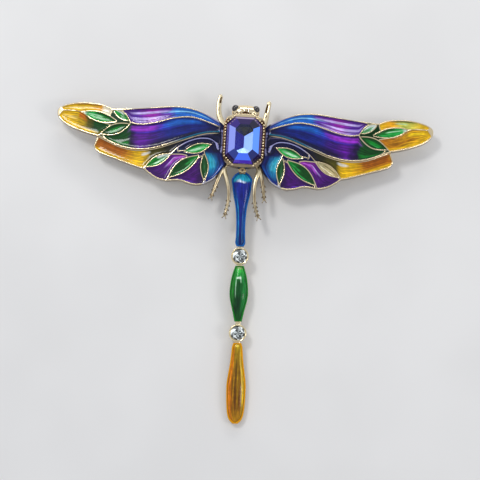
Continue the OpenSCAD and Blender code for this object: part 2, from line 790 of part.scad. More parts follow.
// Trays, cups, the spine that joins them and the eye at the top are one casting
module tail() {
    spine_w = 0.9;
    spine_t = 0.55;
    color(gold) on_tail() difference() {
        union() {
            tray(BLUE_ROWS, blue_y, blue_l, blue_w);
            tray(GREEN_ROWS, green_y, green_l, green_w);
            tray(AMBER_ROWS, amber_y, amber_l, amber_w);
            cup(upper_cup_y);
            cup(lower_cup_y);
            for (run = [[blue_y + blue_l - weld, green_y + 3 * weld],
                        [green_y + green_l - 3 * weld, amber_y + weld]])
                translate([-spine_w / 2, -run[1], tray_z + 0.1])
                    cube([spine_w, run[1] - run[0], spine_t]);
            translate([0, 0, -lug_t / 2])
                linear_extrude(height = lug_t)
                    union() {
                        circle(r = lug_r, $fn = round_fn);
                        translate([-lug_r * 0.8, -blue_y - weld]) square([lug_r * 1.6, blue_y + weld]);
                    }
        }
        tray_hollow(BLUE_ROWS, blue_y, blue_l, blue_w);
        tray_hollow(GREEN_ROWS, green_y, green_l, green_w);
        tray_hollow(AMBER_ROWS, amber_y, amber_l, amber_w);
        cup_hollow(upper_cup_y);
        cup_hollow(lower_cup_y);
        translate([0, 0, -past]) cylinder(d = eye_hole_d, h = 3 * past, $fn = round_fn);
    }
}

module tail_blue() {
    color(blue) on_tail() drop_fill(BLUE_ROWS, blue_y, blue_l, blue_w);
}

module tail_green() {
    color(leaf_green) on_tail() drop_fill(GREEN_ROWS, green_y, green_l, green_w);
}

module tail_amber() {
    color(amber) on_tail() drop_fill(AMBER_ROWS, amber_y, amber_l, amber_w);
}

// The ring stands upright, through the lug and through the tail's eye
module jump_ring() {
    color(gold) placed() translate([0, ring_y, ring_z])
        rotate([0, 90, 0])
            rotate_extrude($fn = round_fn)
                translate([ring_d / 2, 0]) circle(d = ring_wire, $fn = round_fn);
}

module eye(side) {
    color([0.05, 0.04, 0.04]) placed() eye_ball(side, 0);
}

// Bar, hinge block, pin wire and catch are one plain piece
module pin_back() {
    pin_z = pin_d / 2 + pin_lift;
    reach = bar_l / 2;
    slot = pin_d + 0.3;
    color(gold) placed() translate([0, bar_y, 0]) union() {
        difference() {
            union() {
                translate([-reach, -bar_w / 2, bar_z]) cube([bar_l, bar_w, bar_t]);
                for (x = [-reach, reach - foot_l])
                    translate([x, -bar_w / 2 - 0.1, 0])
                        cube([foot_l, bar_w + 0.2, bar_z + bar_t * 0.8]);
            }
            translate([reach - foot_l - past, -bar_w, pin_z - slot / 2])
                cube([foot_l + 2 * past, bar_w, slot]);
        }
        translate([-reach + foot_l / 2, 0, pin_z]) rotate([0, 90, 0])
            cylinder(d = pin_d, h = bar_l - foot_l / 2, $fn = round_fn);
    }
}

casting();
sapphire();
eye(-1);  // eye_left
eye(1);  // eye_right
jump_ring();
tail();
tail_blue();
tail_green();
tail_amber();
round_stone(upper_cup_y, "gainsboro");  // round_stone_upper
round_stone(lower_cup_y, "gainsboro");  // round_stone_lower
pin_back();
fore_fill("fore_upper", -1, purple);  // left_fore_upper
fore_fill("fore_middle", -1, navy);  // left_fore_middle
fore_fill("amber_upper", -1, amber);  // left_amber_upper
fore_fill("amber_lower", -1, amber);  // left_amber_lower
fore_fill("leaf_1", -1, leaf_green);  // left_leaf_1
fore_fill("leaf_2", -1, leaf_green);  // left_leaf_2
fore_fill("leaf_3", -1, leaf_green);  // left_leaf_3
hind_fill("leaf_4", -1, leaf_green);  // left_leaf_4
hind_fill("leaf_5", -1, leaf_green);  // left_leaf_5
hind_fill("leaf_6", -1, leaf_green);  // left_leaf_6
hind_fill("leaf_7", -1, leaf_green);  // left_leaf_7
hind_fill("hind_band", -1, amber);  // left_hind_band
hind_fill("hind_outer", -1, purple);  // left_hind_outer
hind_fill("hind_middle", -1, purple);  // left_hind_middle
hind_fill("hind_root", -1, teal);  // left_hind_root
fore_fill("fore_upper", 1, purple);  // right_fore_upper
fore_fill("fore_middle", 1, navy);  // right_fore_middle
fore_fill("amber_upper", 1, amber);  // right_amber_upper
fore_fill("amber_lower", 1, amber);  // right_amber_lower
fore_fill("leaf_1", 1, leaf_green);  // right_leaf_1
fore_fill("leaf_2", 1, leaf_green);  // right_leaf_2
fore_fill("leaf_3", 1, leaf_green);  // right_leaf_3
hind_fill("leaf_4", 1, leaf_green);  // right_leaf_4
hind_fill("leaf_5", 1, leaf_green);  // right_leaf_5
hind_fill("leaf_6", 1, leaf_green);  // right_leaf_6
hind_fill("leaf_7", 1, leaf_green);  // right_leaf_7
hind_fill("hind_band", 1, amber);  // right_hind_band
hind_fill("hind_outer", 1, purple);  // right_hind_outer
hind_fill("hind_middle", 1, purple);  // right_hind_middle
hind_fill("hind_root", 1, teal);  // right_hind_root
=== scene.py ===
"""Looks of an insect brooch: cast gold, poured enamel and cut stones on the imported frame."""

import logging
import math
from dataclasses import dataclass, field
from enum import Enum
from functools import partial, reduce
from typing import Callable, Sequence

import bmesh
import bpy
import numpy as np
from mathutils import Matrix, Vector
from mathutils.geometry import delaunay_2d_cdt


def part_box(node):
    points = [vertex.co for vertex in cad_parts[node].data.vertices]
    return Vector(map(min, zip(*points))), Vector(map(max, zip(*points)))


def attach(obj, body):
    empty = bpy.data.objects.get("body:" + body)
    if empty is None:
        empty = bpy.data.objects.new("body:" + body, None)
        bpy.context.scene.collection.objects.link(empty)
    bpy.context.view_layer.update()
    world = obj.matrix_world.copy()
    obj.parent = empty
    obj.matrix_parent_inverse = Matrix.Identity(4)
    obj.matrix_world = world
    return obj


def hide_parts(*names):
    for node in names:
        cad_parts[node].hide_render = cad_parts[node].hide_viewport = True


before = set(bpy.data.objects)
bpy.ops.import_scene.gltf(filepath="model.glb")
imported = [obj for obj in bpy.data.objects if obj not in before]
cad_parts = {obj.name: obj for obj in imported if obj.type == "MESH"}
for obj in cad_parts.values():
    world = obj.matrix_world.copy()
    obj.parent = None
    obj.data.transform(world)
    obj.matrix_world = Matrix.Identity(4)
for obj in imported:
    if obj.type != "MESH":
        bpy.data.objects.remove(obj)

LOG = logging.getLogger("brooch")
MM = 0.001
Colour = tuple[float, float, float]
Array = np.ndarray
Loop = np.ndarray
Height = Callable[[Array], Array]
Socket = bpy.types.NodeSocket
Material = bpy.types.Material
Piece = bpy.types.Object
# Points that are measured against all edges at a time, which bounds the memory that it takes
BATCH = 800
# Distance between the rows of a lattice of equal triangles, as a share of its pitch
ROW_PITCH = 0.866
# Points round a small turned part
TURNED = 48
# Angles, in degrees, from which an edge stays crisp: on round parts and on poured enamel
ROUND_CREASE, POURED_CREASE = 80.0, 60.0
# Height of a facet's normal from which the facet is the stone's table
TABLE = 0.98


class Slot(Enum):
    """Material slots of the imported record."""

    GOLD_CAST = "gold_cast"
    GOLD_WIRE = "gold_wire"
    PIN_METAL = "pin_metal"
    BLUE_STONE = "blue_stone"
    CLEAR_STONE = "clear_stone"
    BLACK_BEAD = "black_bead"
    VIOLET = "enamel_violet"
    BLUE = "enamel_blue"
    AMBER = "enamel_amber"
    BAND = "enamel_band"
    GREEN = "enamel_green"
    PURPLE = "enamel_purple"
    TEAL = "enamel_teal"
    TAIL_BLUE = "enamel_tail_blue"
    TAIL_GREEN = "enamel_tail_green"
    TAIL_AMBER = "enamel_tail_amber"


class Side(Enum):
    """The two wings, as the sign of X on which each lies."""

    LEFT = -1
    RIGHT = 1

    @property
    def word(self) -> str:
        """The side's name, as the CAD nodes spell it."""
        return self.name.lower()


# Flat outlines


def between(a: Array, b: Array, c: Array, d: Array, f: float) -> Array:
    """The place at share f of the way from b to c, on the smooth curve through four points."""
    return 0.5 * (2 * b + (c - a) * f + (2 * a - 5 * b + 4 * c - d) * f * f
                  + (3 * b - a - 3 * c + d) * f ** 3)


def spline(rows: Sequence[Sequence[float]], steps: int = 6) -> Loop:
    """Draws the smooth curve through a table's rows.

    Args:
        rows: Points of the curve.
        steps: Steps between two rows.

    Returns:
        The points of the curve, with the last row at its end.
    """
    p = np.asarray(rows, float)
    last = len(p) - 1
    points = []
    for i in range(last):
        a, b, c, d = p[max(i - 1, 0)], p[i], p[i + 1], p[min(i + 2, last)]
        points += [between(a, b, c, d, k / steps) for k in range(steps)]
    points.append(p[last])
    return np.array(points)


def joined(*parts: Loop) -> Loop:
    """Joins pieces of an outline into one closed anticlockwise loop without doubles."""
    loop = np.concatenate([np.asarray(part, float) for part in parts])
    step = np.linalg.norm(loop - np.roll(loop, -1, 0), axis=1)
    loop = loop[step > 0.01]
    following = np.roll(loop, -1, 0)
    area = (loop[:, 0] * following[:, 1] - loop[:, 1] * following[:, 0]).sum()
    return loop if area > 0 else loop[::-1]


def smooth_loop(loop: Loop, pitch: float, corner: float = 34.0) -> Loop:
    """Rounds a loop off between its corners and gives it points at an even pitch.

    Args:
        loop: A closed outline.
        pitch: Longest step between two points, in millimetres.
        corner: Turn, in degrees, from which a point stays a sharp corner.

    Returns:
        The finer loop.
    """
    count = len(loop)
    ahead = np.roll(loop, -1, 0) - loop
    behind = np.roll(ahead, 1, 0)
    cross = behind[:, 0] * ahead[:, 1] - behind[:, 1] * ahead[:, 0]
    turn = np.degrees(np.abs(np.arctan2(cross, (behind * ahead).sum(1))))
    sharp = turn > corner
    points = []
    for i in range(count):
        j = (i + 1) % count
        b, c = loop[i], loop[j]
        a = b if sharp[i] else loop[i - 1]
        d = c if sharp[j] else loop[(i + 2) % count]
        steps = max(1, math.ceil(float(np.linalg.norm(c - b)) / pitch))
        points += [between(a, b, c, d, k / steps) for k in range(steps)]
    return np.array(points)


def moved_out(loop: Loop, distance: float) -> Loop:
    """Moves an anticlockwise loop outwards, or inwards by a negative distance."""
    ahead = np.roll(loop, -1, 0) - loop
    ahead /= np.maximum(np.linalg.norm(ahead, axis=1, keepdims=True), 1e-9)
    after = np.stack([ahead[:, 1], -ahead[:, 0]], 1)
    before = np.roll(after, 1, 0)
    reach = np.maximum(1 + (after * before).sum(1, keepdims=True), 0.5)
    return loop + distance * (after + before) / reach


def distance_to(points: Array, loops: Sequence[Loop]) -> Array:
    """Measures how far each point lies from the nearest of some closed loops.

    Args:
        points: Points in plan.
        loops: Closed outlines.

    Returns:
        One distance for each point, in millimetres.
    """
    a = np.concatenate(loops)
    b = np.concatenate([np.roll(loop, -1, 0) for loop in loops])
    run = b - a
    length = np.maximum((run * run).sum(1), 1e-12)
    nearest = np.empty(len(points))
    for start in range(0, len(points), BATCH):
        gap = points[start:start + BATCH, None, :] - a
        share = np.clip((gap * run).sum(2) / length, 0, 1)
        gap -= share[:, :, None] * run
        nearest[start:start + BATCH] = np.sqrt((gap * gap).sum(2).min(1))
    return nearest


def is_inside(points: Array, loops: Sequence[Loop]) -> Array:
    """Tells which points lie inside an odd number of closed loops."""
    a = np.concatenate(loops)
    b = np.concatenate([np.roll(loop, -1, 0) for loop in loops])
    rise = b[:, 1] - a[:, 1]
    slope = (b[:, 0] - a[:, 0]) / np.where(np.abs(rise) < 1e-12, 1e-12, rise)
    odd = np.empty(len(points), bool)
    for start in range(0, len(points), BATCH):
        x = points[start:start + BATCH, 0:1]
        y = points[start:start + BATCH, 1:2]
        crossed = ((a[:, 1] > y) != (b[:, 1] > y)) & (x < slope * (y - a[:, 1]) + a[:, 0])
        odd[start:start + BATCH] = crossed.sum(1) % 2 == 1
    return odd


def node_outline(name: str) -> Loop:
    """Reads the outline of an upright enamel node, as it is seen from above.

    Args:
        name: The CAD node.

    Returns:
        Its outline without the points that lie on straight stretches, in millimetres.
    """
    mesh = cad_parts[name].data
    mesh.calc_loop_triangles()
    places = [tuple(round(value / MM, 3) for value in vertex.co[:2]) for vertex in mesh.vertices]
    edges: dict[tuple, tuple] = {}
    paired = set()
    for triangle in mesh.loop_triangles:
        if triangle.normal.z < 0.5:
            continue
        corners = [places[i] for i in triangle.vertices]
        for a, b in zip(corners, corners[1:] + corners[:1]):
            paired.add((a, b))
    for a, b in paired:
        if (b, a) not in paired:
            edges[a] = b
    start = next(iter(edges))
    chain = [start]
    while edges[chain[-1]] != start and len(chain) <= len(edges):
        chain.append(edges[chain[-1]])
    loop = np.array(chain)
    ahead = np.roll(loop, -1, 0) - loop
    behind = np.roll(ahead, 1, 0)
    cross = np.abs(behind[:, 0] * ahead[:, 1] - behind[:, 1] * ahead[:, 0])
    span = np.linalg.norm(ahead + behind, axis=1)
    return loop[cross > 0.003 * np.maximum(span, 1e-6)]


def drape(
    loops: Sequence[Loop], rings: Sequence[float], grid: float
) -> tuple[Array, Array, Array]:
    """Fills the area inside the first loop and outside the others with triangles.

    Args:
        loops: The outer outline, and the outlines of any holes.
        rings: Distances from the outlines at which rows of points follow them.
        grid: Pitch of the points further in.

    Returns:
        The points in plan, the triangles, and each point's distance from the outlines.
    """
    extra = []
    for ring in rings:
        for k, loop in enumerate(loops):
            row = moved_out(loop, -ring if k == 0 else ring)
            keep = is_inside(row, loops)
            row = row[keep]
            extra.append(row[distance_to(row, loops) > 0.85 * ring] if len(row) else row)
    low, high = loops[0].min(0), loops[0].max(0)
    ys = np.arange(low[1], high[1], grid * ROW_PITCH)
    xs = np.arange(low[0], high[0], grid)
    lattice = np.array([(x + (k % 2) * grid / 2, y) for k, y in enumerate(ys) for x in xs])
    lattice = lattice[is_inside(lattice, loops)]
    if len(lattice):
        lattice = lattice[distance_to(lattice, loops) > max(rings) + grid * 0.4]
    given = np.concatenate([*loops, *extra, lattice])
    edges = []
    first = 0
    for loop in loops:
        edges += [(first + i, first + (i + 1) % len(loop)) for i in range(len(loop))]
        first += len(loop)
    result = delaunay_2d_cdt([Vector(p) for p in given], edges, [], 0, 1e-5)
    points = np.array([tuple(p) for p in result[0]])
    triangles = np.array([face for face in result[2] if len(face) == 3])
    centre = points[triangles].mean(1)
    triangles = triangles[is_inside(centre, loops)]
    return points, triangles, distance_to(points, loops)


def across_slices(points: Array, loop: Loop) -> Array:
    """Gives each point its share of the way through the loop, on the slice along Y through it."""
    a, b = loop, np.roll(loop, -1, 0)
    low = np.full(len(points), np.inf)
    high = np.full(len(points), -np.inf)
    run = np.where(np.abs(b[:, 0] - a[:, 0]) < 1e-9, 1e-9, b[:, 0] - a[:, 0])
    for start in range(0, len(points), BATCH):
        x = points[start:start + BATCH, 0:1]
        share = (x - a[:, 0]) / run
        hit = (share >= -0.01) & (share <= 1.01)
        y = a[:, 1] + np.clip(share, 0, 1) * (b[:, 1] - a[:, 1])
        low[start:start + BATCH] = np.where(hit, y, np.inf).min(1)
        high[start:start + BATCH] = np.where(hit, y, -np.inf).max(1)
    depth = np.where(high - low > 1e-6, high - low, 1)
    return np.clip((points[:, 1] - low) / depth, 0, 1)


def fading(values: Array, full: float, none: float) -> Array:
    """1 for values up to full, 0 from none on, and a straight slope between."""
    return np.clip((none - values) / (none - full), 0, 1)


# Meshes

# Points of a piece that lie closer than this are one, in millimetres
WELD = 0.002


def shown(name: str, data: bpy.types.ID) -> Piece:
    """Puts a mesh, light or camera into the scene as an object."""
    thing = bpy.data.objects.new(name, data)
    bpy.context.scene.collection.objects.link(thing)
    return thing


def quads(rows: int, columns: int, closed: bool = False) -> list[tuple[int, ...]]:
    """Faces of a grid of points.

    Args:
        rows: Rows of points.
        columns: Points in a row.
        closed: True if each row's last point joins on to its first.

    Returns:
        The faces, row by row, each from its first point on.
    """
    faces = []
    for i in range(rows - 1):
        for k in range(columns if closed else columns - 1):
            low, high, j = i * columns, (i + 1) * columns, (k + 1) % columns
            faces.append((low + k, low + j, high + j, high + k))
    return faces


@dataclass
class Draft:
    """A mesh on the drawing board, in millimetres."""

    points: list[Array] = field(default_factory=list)
    faces: list[tuple[int, ...]] = field(default_factory=list)
    values: dict[str, list[Array]] = field(default_factory=dict)
    count: int = 0

    def add(self, points: Array, faces: Sequence[Sequence[int]], **values: Array) -> None:
        """Adds points and faces.

        Args:
            points: New points.
            faces: Faces that count their points from the first new one.
            **values: One number for each new point, under the attribute's name.
        """
        self.points.append(np.asarray(points, float))
        self.faces += [tuple(int(i) + self.count for i in face) for face in faces]
        for name in {*values, *self.values}:
            row = self.values.setdefault(name, [np.zeros(self.count)] if self.count else [])
            row.append(np.asarray(values.get(name, np.zeros(len(points))), float))
        self.count += len(points)

    def skirt(self, tops: Array, bottoms: Array, inwards: bool,
              values: dict[str, Array] | None = None) -> None:
        """Adds the wall between two closed rows of points.

        Args:
            tops: Upper row, anticlockwise from above.
            bottoms: Lower row.
            inwards: True for the wall of a hollow, whose faces look into it.
            values: Attributes of the upper row's points and then the lower row's.
        """
        n = len(tops)
        faces = [(i, (i + 1) % n, n + (i + 1) % n, n + i) for i in range(n)]
        if not inwards:
            faces = [face[::-1] for face in faces]
        self.add(np.concatenate([tops, bottoms]), faces, **(values or {}))

    def copied(self, points: list[Array], faces: list[tuple[int, ...]]) -> "Draft":
        """The same draft, attributes and all, on other points and faces."""
        values = {name: list(rows) for name, rows in self.values.items()}
        return Draft(points, faces, values, self.count)

    def mirrored(self) -> "Draft":
        """The same draft on the other side of the body."""
        flip = np.array([-1.0, 1.0, 1.0])
        faces = [face[::-1] for face in self.faces]
        return self.copied([part * flip for part in self.points], faces)

    def turned(self, matrix: Matrix) -> "Draft":
        """The same draft moved by a matrix in millimetres."""
        turn = np.array(matrix.to_3x3())
        shift = np.array(matrix.translation)
        return self.copied([part @ turn.T + shift for part in self.points], list(self.faces))

    def join(self, other: "Draft") -> "Draft":
        """Takes another draft in, and returns this one."""
        values = {name: np.concatenate(rows) for name, rows in other.values.items()}
        self.add(np.concatenate(other.points), other.faces, **values)
        return self

    def made(self, name: str, material: Material,
             crease: float = 38.0) -> Piece:
        """Makes the object that the draft stands for.

        Args:
            name: The piece's name.
            material: Its finish.
            crease: Angle, in degrees, from which an edge stays crisp.

        Returns:
            The object, at the origin, with its place in its mesh.
        """
        mesh = bpy.data.meshes.new(name)
        mesh.from_pydata((np.concatenate(self.points) * MM).tolist(), [], self.faces)
        for key, rows in self.values.items():
            attribute = mesh.attributes.new(key, "FLOAT", "POINT")
            attribute.data.foreach_set("value", np.concatenate(rows).astype(np.float32))
        shape = bmesh.new()
        shape.from_mesh(mesh)
        bmesh.ops.remove_doubles(shape, verts=shape.verts, dist=WELD * MM)
        bmesh.ops.dissolve_degenerate(shape, edges=shape.edges, dist=WELD * MM * 0.3)
        shape.to_mesh(mesh)
        shape.free()
        mesh.materials.append(material)
        for polygon in mesh.polygons:
            polygon.use_smooth = True
        mesh.set_sharp_from_angle(angle=math.radians(crease))
        mesh.update()
        return shown(name, mesh)


def raised(points: Array, heights: Array) -> Array:
    """Points in plan with their heights."""
    return np.column_stack([points, heights])


def lathe(profile: Sequence[Sequence[float]], count: int, centre: Sequence[float]) -> Draft:
    """Turns a profile round an upright line.

    Args:
        profile: Rows of radius and height, from the outside bottom upwards and in.
        count: Points round.
        centre: Foot of the line.

    Returns:
        The draft of the turned shape.
    """
    draft = Draft()
    angles = np.arange(count) * 2 * math.pi / count
    rows = [
        np.column_stack([
            centre[0] + r * np.cos(angles), centre[1] + r * np.sin(angles),
            np.full(count, centre[2] + z),
        ])
        for r, z in profile
    ]
    draft.add(np.concatenate(rows), quads(len(rows), count, True))
    return draft


def level(height: float) -> Height:
    """A level face at one height."""
    return lambda points: np.full(len(points), height)


def strip(half: float, start: float, end: float) -> Loop:
    """A straight strip down the middle line, from start to end towards the tail."""
    return np.array([(-half, -end), (half, -end), (half, -start), (-half, -start)])


# The two eyes that the jump ring passes through: hole, wall and half height, and how far their
# inner and outer edges are eased, in millimetres
EYE_HOLE = 0.72
EYE_WALL = 0.28
EYE_HALF = 0.294
EYE_EASE = (0.08, 0.1)


def ring_eye(centre: Sequence[float]) -> Draft:
    """Draws one of the eyes that the jump ring passes through."""
    hole, wall, half = EYE_HOLE / 2, EYE_HOLE / 2 + EYE_WALL, EYE_HALF
    near, far = EYE_EASE
    profile = [
        (hole, -half + near), (hole + near, -half), (wall - far, -half), (wall, -half + far),
        (wall, half - far), (wall - far, half), (hole + near, half), (hole, half - near),
        (hole, -half + near),
    ]
    return lathe(profile, TURNED, centre)


# Finishes


class Graph:
    """The node graph of one material."""

    def __init__(self, name: str) -> None:
        """Starts an empty graph.

        Args:
            name: The material's name.
        """
        self.material = bpy.data.materials.new(name)
        self.material.use_nodes = True
        self.tree = self.material.node_tree
        self.tree.nodes.clear()
        self.surface = self.node("ShaderNodeBsdfPrincipled")
        out = self.node("ShaderNodeOutputMaterial")
        self.tree.links.new(self.surface.outputs["BSDF"], out.inputs["Surface"])

    def node(self, kind: str, **settings: object) -> bpy.types.Node:
        """Adds a node with its settings."""
        node = self.tree.nodes.new(kind)
        for key, value in settings.items():
            setattr(node, key, value)
        return node

    def put(self, socket: Socket, value: object) -> None:
        """Links another node's output to a socket, or sets a plain value on it."""
        if isinstance(value, Socket):
            self.tree.links.new(value, socket)
        elif isinstance(value, tuple) and len(value) == 3 and socket.type == "RGBA":
            socket.default_value = (*value, 1.0)
        else:
            socket.default_value = value

    def fed(self, kind: str, inputs: dict[str, object], **settings: object) -> bpy.types.Node:
        """Adds a node with its settings and with something on each of its inputs."""
        node = self.node(kind, **settings)
        for key, value in inputs.items():
            self.put(node.inputs[key], value)
        return node

    def shader(self, **values: object) -> None:
        """Sets the shader's sockets, named in small letters with underscores."""
        for key, value in values.items():
            name = key.replace("_", " ").title().replace("Ior", "IOR")
            self.put(self.surface.inputs[name], value)

    def math(self, how: str, a: object, b: object = 0.0,
             clamp: bool = False) -> Socket:
        """One step of arithmetic."""
        node = self.node("ShaderNodeMath", operation=how, use_clamp=clamp)
        self.put(node.inputs[0], a)
        self.put(node.inputs[1], b)
        return node.outputs[0]

    def product(self, *factors: object) -> object:
        """Some factors multiplied, from the first on."""
        return reduce(lambda a, b: self.math("MULTIPLY", a, b), factors)

    def rest(self, share: object) -> Socket:
        """What a share leaves of 1."""
        return self.math("SUBTRACT", 1.0, share)

    def attribute(self, name: str) -> Socket:
        """Reads a number that the piece's mesh carries."""
        return self.node("ShaderNodeAttribute", attribute_name=name).outputs["Fac"]

    def span(self, value: object, low: float, high: float) -> Socket:
        """Share of the way of a value from low to high, kept between 0 and 1 and eased."""
        inputs = {"Value": value, "From Min": low, "From Max": high}
        node = self.fed("ShaderNodeMapRange", inputs, clamp=True, interpolation_type="SMOOTHSTEP")
        return node.outputs["Result"]

    def ramp(self, value: object, stops: Sequence[tuple[float, Colour]]) -> Socket:
        """Colours along a value, from stops of place and colour."""
        node = self.node("ShaderNodeValToRGB")
        node.color_ramp.interpolation = "EASE"
        band = node.color_ramp.elements
        while len(band) < len(stops):
            band.new(0.5)
        for element, (place, colour) in zip(band, stops):
            element.position = place
            element.color = (*colour, 1.0)
        self.put(node.inputs["Fac"], value)
        return node.outputs["Color"]

    def blend(self, share: object, a: object, b: object, how: str = "MIX") -> Socket:
        """Mixes two colours."""
        node = self.node("ShaderNodeMix", data_type="RGBA", blend_type=how)
        self.put(node.inputs[0], share)
        self.put(node.inputs[6], a)
        self.put(node.inputs[7], b)
        return node.outputs[2]

    def noise(self, scale: float, detail: float = 2.0) -> Socket:
        """Soft noise on the piece's own coordinates, with features of about 1 / scale metres."""
        place = self.node("ShaderNodeTexCoord").outputs["Object"]
        inputs = {"Vector": place, "Scale": scale, "Detail": detail}
        return self.fed("ShaderNodeTexNoise", inputs).outputs["Fac"]

    def brushed(self, run: float, lines: float) -> Socket:
        """Noise drawn out along a cell.

        Args:
            run: Features from end to end.
            lines: Features from side to side.

        Returns:
            The noise, from 0 to 1. It reads the attributes "along" and "across".
        """
        place = self.fed("ShaderNodeCombineXYZ", {
            "X": self.product(self.attribute("along"), run),
            "Y": self.product(self.attribute("across"), lines),
        }).outputs["Vector"]
        inputs = {"Vector": place, "Scale": 1.0, "Detail": 2.0}
        return self.fed("ShaderNodeTexNoise", inputs).outputs["Fac"]

    def bump(self, height: object, depth: float) -> None:
        """Lets a height in metres show on the surface."""
        node = self.fed("ShaderNodeBump", {"Strength": 1.0, "Distance": depth, "Height": height})
        self.put(self.surface.inputs["Normal"], node.outputs["Normal"])


@dataclass(frozen=True)
class Gold:
    """Polished gold plate, with painted shade in its recesses, washed with enamel near the body."""

    name: str
    bright: Colour = (0.97, 0.8, 0.5)
    # Colour of the painted shade in the recesses
    recess: Colour = (0.09, 0.035, 0.01)
    roughness: float = 0.15
    ripple: float = 0.00001
    # Enamel colours that "shade" picks: dark green, navy, a lilac that is a painted highlight, and
    # teal
    washes: tuple[tuple[float, Colour], ...] = (
        (0.0, (0.002, 0.03, 0.006)), (0.2, (0.003, 0.005, 0.05)), (0.7, (0.4, 0.4, 0.72)),
        (1.0, (0.012, 0.14, 0.24)),
    )

    def material(self) -> Material:
        """Builds the finish.

        Returns:
            The material. It reads three attributes: "recess" is painted shade, 1 in the depths of
                the
            metal, "wash" is 1 where enamel covers it, and "shade" picks that enamel's colour.
        """
        g = Graph(self.name)
        # Painted shade where "recess" is high, and a little of the same brown at random as wear
        worn = g.product(g.noise(900.0, 3.0), 0.25)
        share = g.math("ADD", g.attribute("recess"), g.math("SUBTRACT", worn, 0.12), clamp=True)
        metal = g.blend(share, self.bright, self.recess)
        wash = g.attribute("wash")
        g.shader(
            base_color=g.blend(wash, metal, g.ramp(g.attribute("shade"), self.washes)),
            metallic=g.rest(g.product(wash, 0.9)),
            specular_ior_level=g.math("SUBTRACT", 0.5, g.product(wash, 0.35)),
            roughness=g.math("ADD", self.roughness, g.product(wash, 0.2)),
        )
        g.bump(g.noise(2600.0, 2.0), self.ripple)
        return g.material


# Streaks are mostly painted highlights and painted shade; some are bands of the enamel's own colour
@dataclass(frozen=True)
class Streak:
    """A streak that runs along a cell at one share of its width, or across it."""

    place: float
    width: float
    start: float
    end: float
    colour: Colour
    strength: float = 0.8
    crosswise: bool = False


@dataclass(frozen=True)
class Enamel:
    """Glassy enamel over bright metal, coloured along its cell, with painted highlights and painted
    shade.
    """

    name: str
    stops: tuple[tuple[float, Colour], ...]
    streaks: tuple[Streak, ...] = ()
    run: float = 5.0
    lines: float = 14.0
    wander: float = 0.16
    fade: float = 0.3

    def material(self) -> Material:
        """Builds the finish from the attributes "along" and "across" of the fill."""
        g = Graph(self.name)
        wander = g.product(g.math("SUBTRACT", g.noise(500.0, 3.0), 0.5), self.wander)
        along = g.math("ADD", g.attribute("along"), wander)
        across = g.attribute("across")
        colour = g.ramp(along, self.stops)
        for streak in self.streaks:
            side, run = (along, across) if streak.crosswise else (across, along)
            off = g.math("ABSOLUTE", g.math("SUBTRACT", side, streak.place))
            thin = g.rest(g.span(off, streak.width * 0.25, streak.width))
            reach = (streak.end - streak.start) * self.fade
            rise = g.span(run, streak.start, streak.start + reach)
            fall = g.rest(g.span(run, streak.end - reach, streak.end))
            colour = g.blend(g.product(thin, rise, fall, streak.strength), colour, streak.colour)
        mottle, brush = g.noise(1500.0, 3.0), g.brushed(self.run, self.lines)
        for noise, pale_from, grey in ((mottle, 0.7, 0.76), (brush, 0.52, 0.62)):
            dark = g.ramp(noise, ((0.3, (grey, grey, grey)), (pale_from, (1.0, 1.0, 1.0))))
            colour = g.blend(1.0, colour, dark, "MULTIPLY")
        # Lightens the brightest lines of the brush noise: painted streaky highlights along the cell
        colour = g.blend(g.product(g.span(brush, 0.5, 0.68), 0.8), colour, colour, "ADD")
        g.shader(base_color=colour, metallic=0.05, roughness=0.4, specular_ior_level=0.1,
                 coat_weight=0.6, coat_roughness=0.05, coat_ior=1.4)
        g.bump(g.noise(700.0, 1.0), 0.00003)
        return g.material


@dataclass(frozen=True)
class Crystal:
    """Cut glass: a clear table, and facets painted with the colours and glow of a foil back."""

    name: str
    index: float = 1.3

    def material(self) -> Material:
        """Builds the finish.

        Returns:
            The material. It reads three attributes: "facet" is a facet's painted colour, "clear" is
                1
            where it lets light through, and "glow" is a painted glow for a foil back.
        """
        g = Graph(self.name)
        colour = g.node("ShaderNodeAttribute", attribute_name="facet").outputs["Color"]
        g.shader(
            base_color=colour, roughness=0.02, ior=self.index, coat_weight=0.6, coat_roughness=0.0,
            transmission_weight=g.attribute("clear"), emission_color=colour,
            emission_strength=g.attribute("glow"),
        )
        return g.material


@dataclass(frozen=True)
class Glossy:
    """A glossy bead of one colour."""

    name: str
    colour: Colour
    roughness: float = 0.08

    def material(self) -> Material:
        """Builds the finish."""
        g = Graph(self.name)
        pale = tuple(2.2 * share for share in self.colour)
        tone = g.ramp(g.noise(1200.0, 2.0), ((0.35, self.colour), (0.75, pale)))
        g.shader(base_color=tone, roughness=self.roughness, coat_weight=1.0, coat_roughness=0.02)
        return g.material


# Cast and poured pieces

# How far a wash runs down the outer wall of a plate, from the top row to the lowest
WALL_COVER = (1.0, 0.85, 0.1, 0.0)
# Painted shade on the gold: how dark it is on the walls and floors of the cells, on a plate's lower
# edge and below it
CELL_WALL, CELL_FLOOR, LOWER_EDGE, UNDERSIDE = 0.9, 1.0, 0.5, 0.35
# Rows of points that round an edge off, as shares of its width
EDGE_ROWS = (0.06, 0.25, 0.55, 1.0, 1.9)


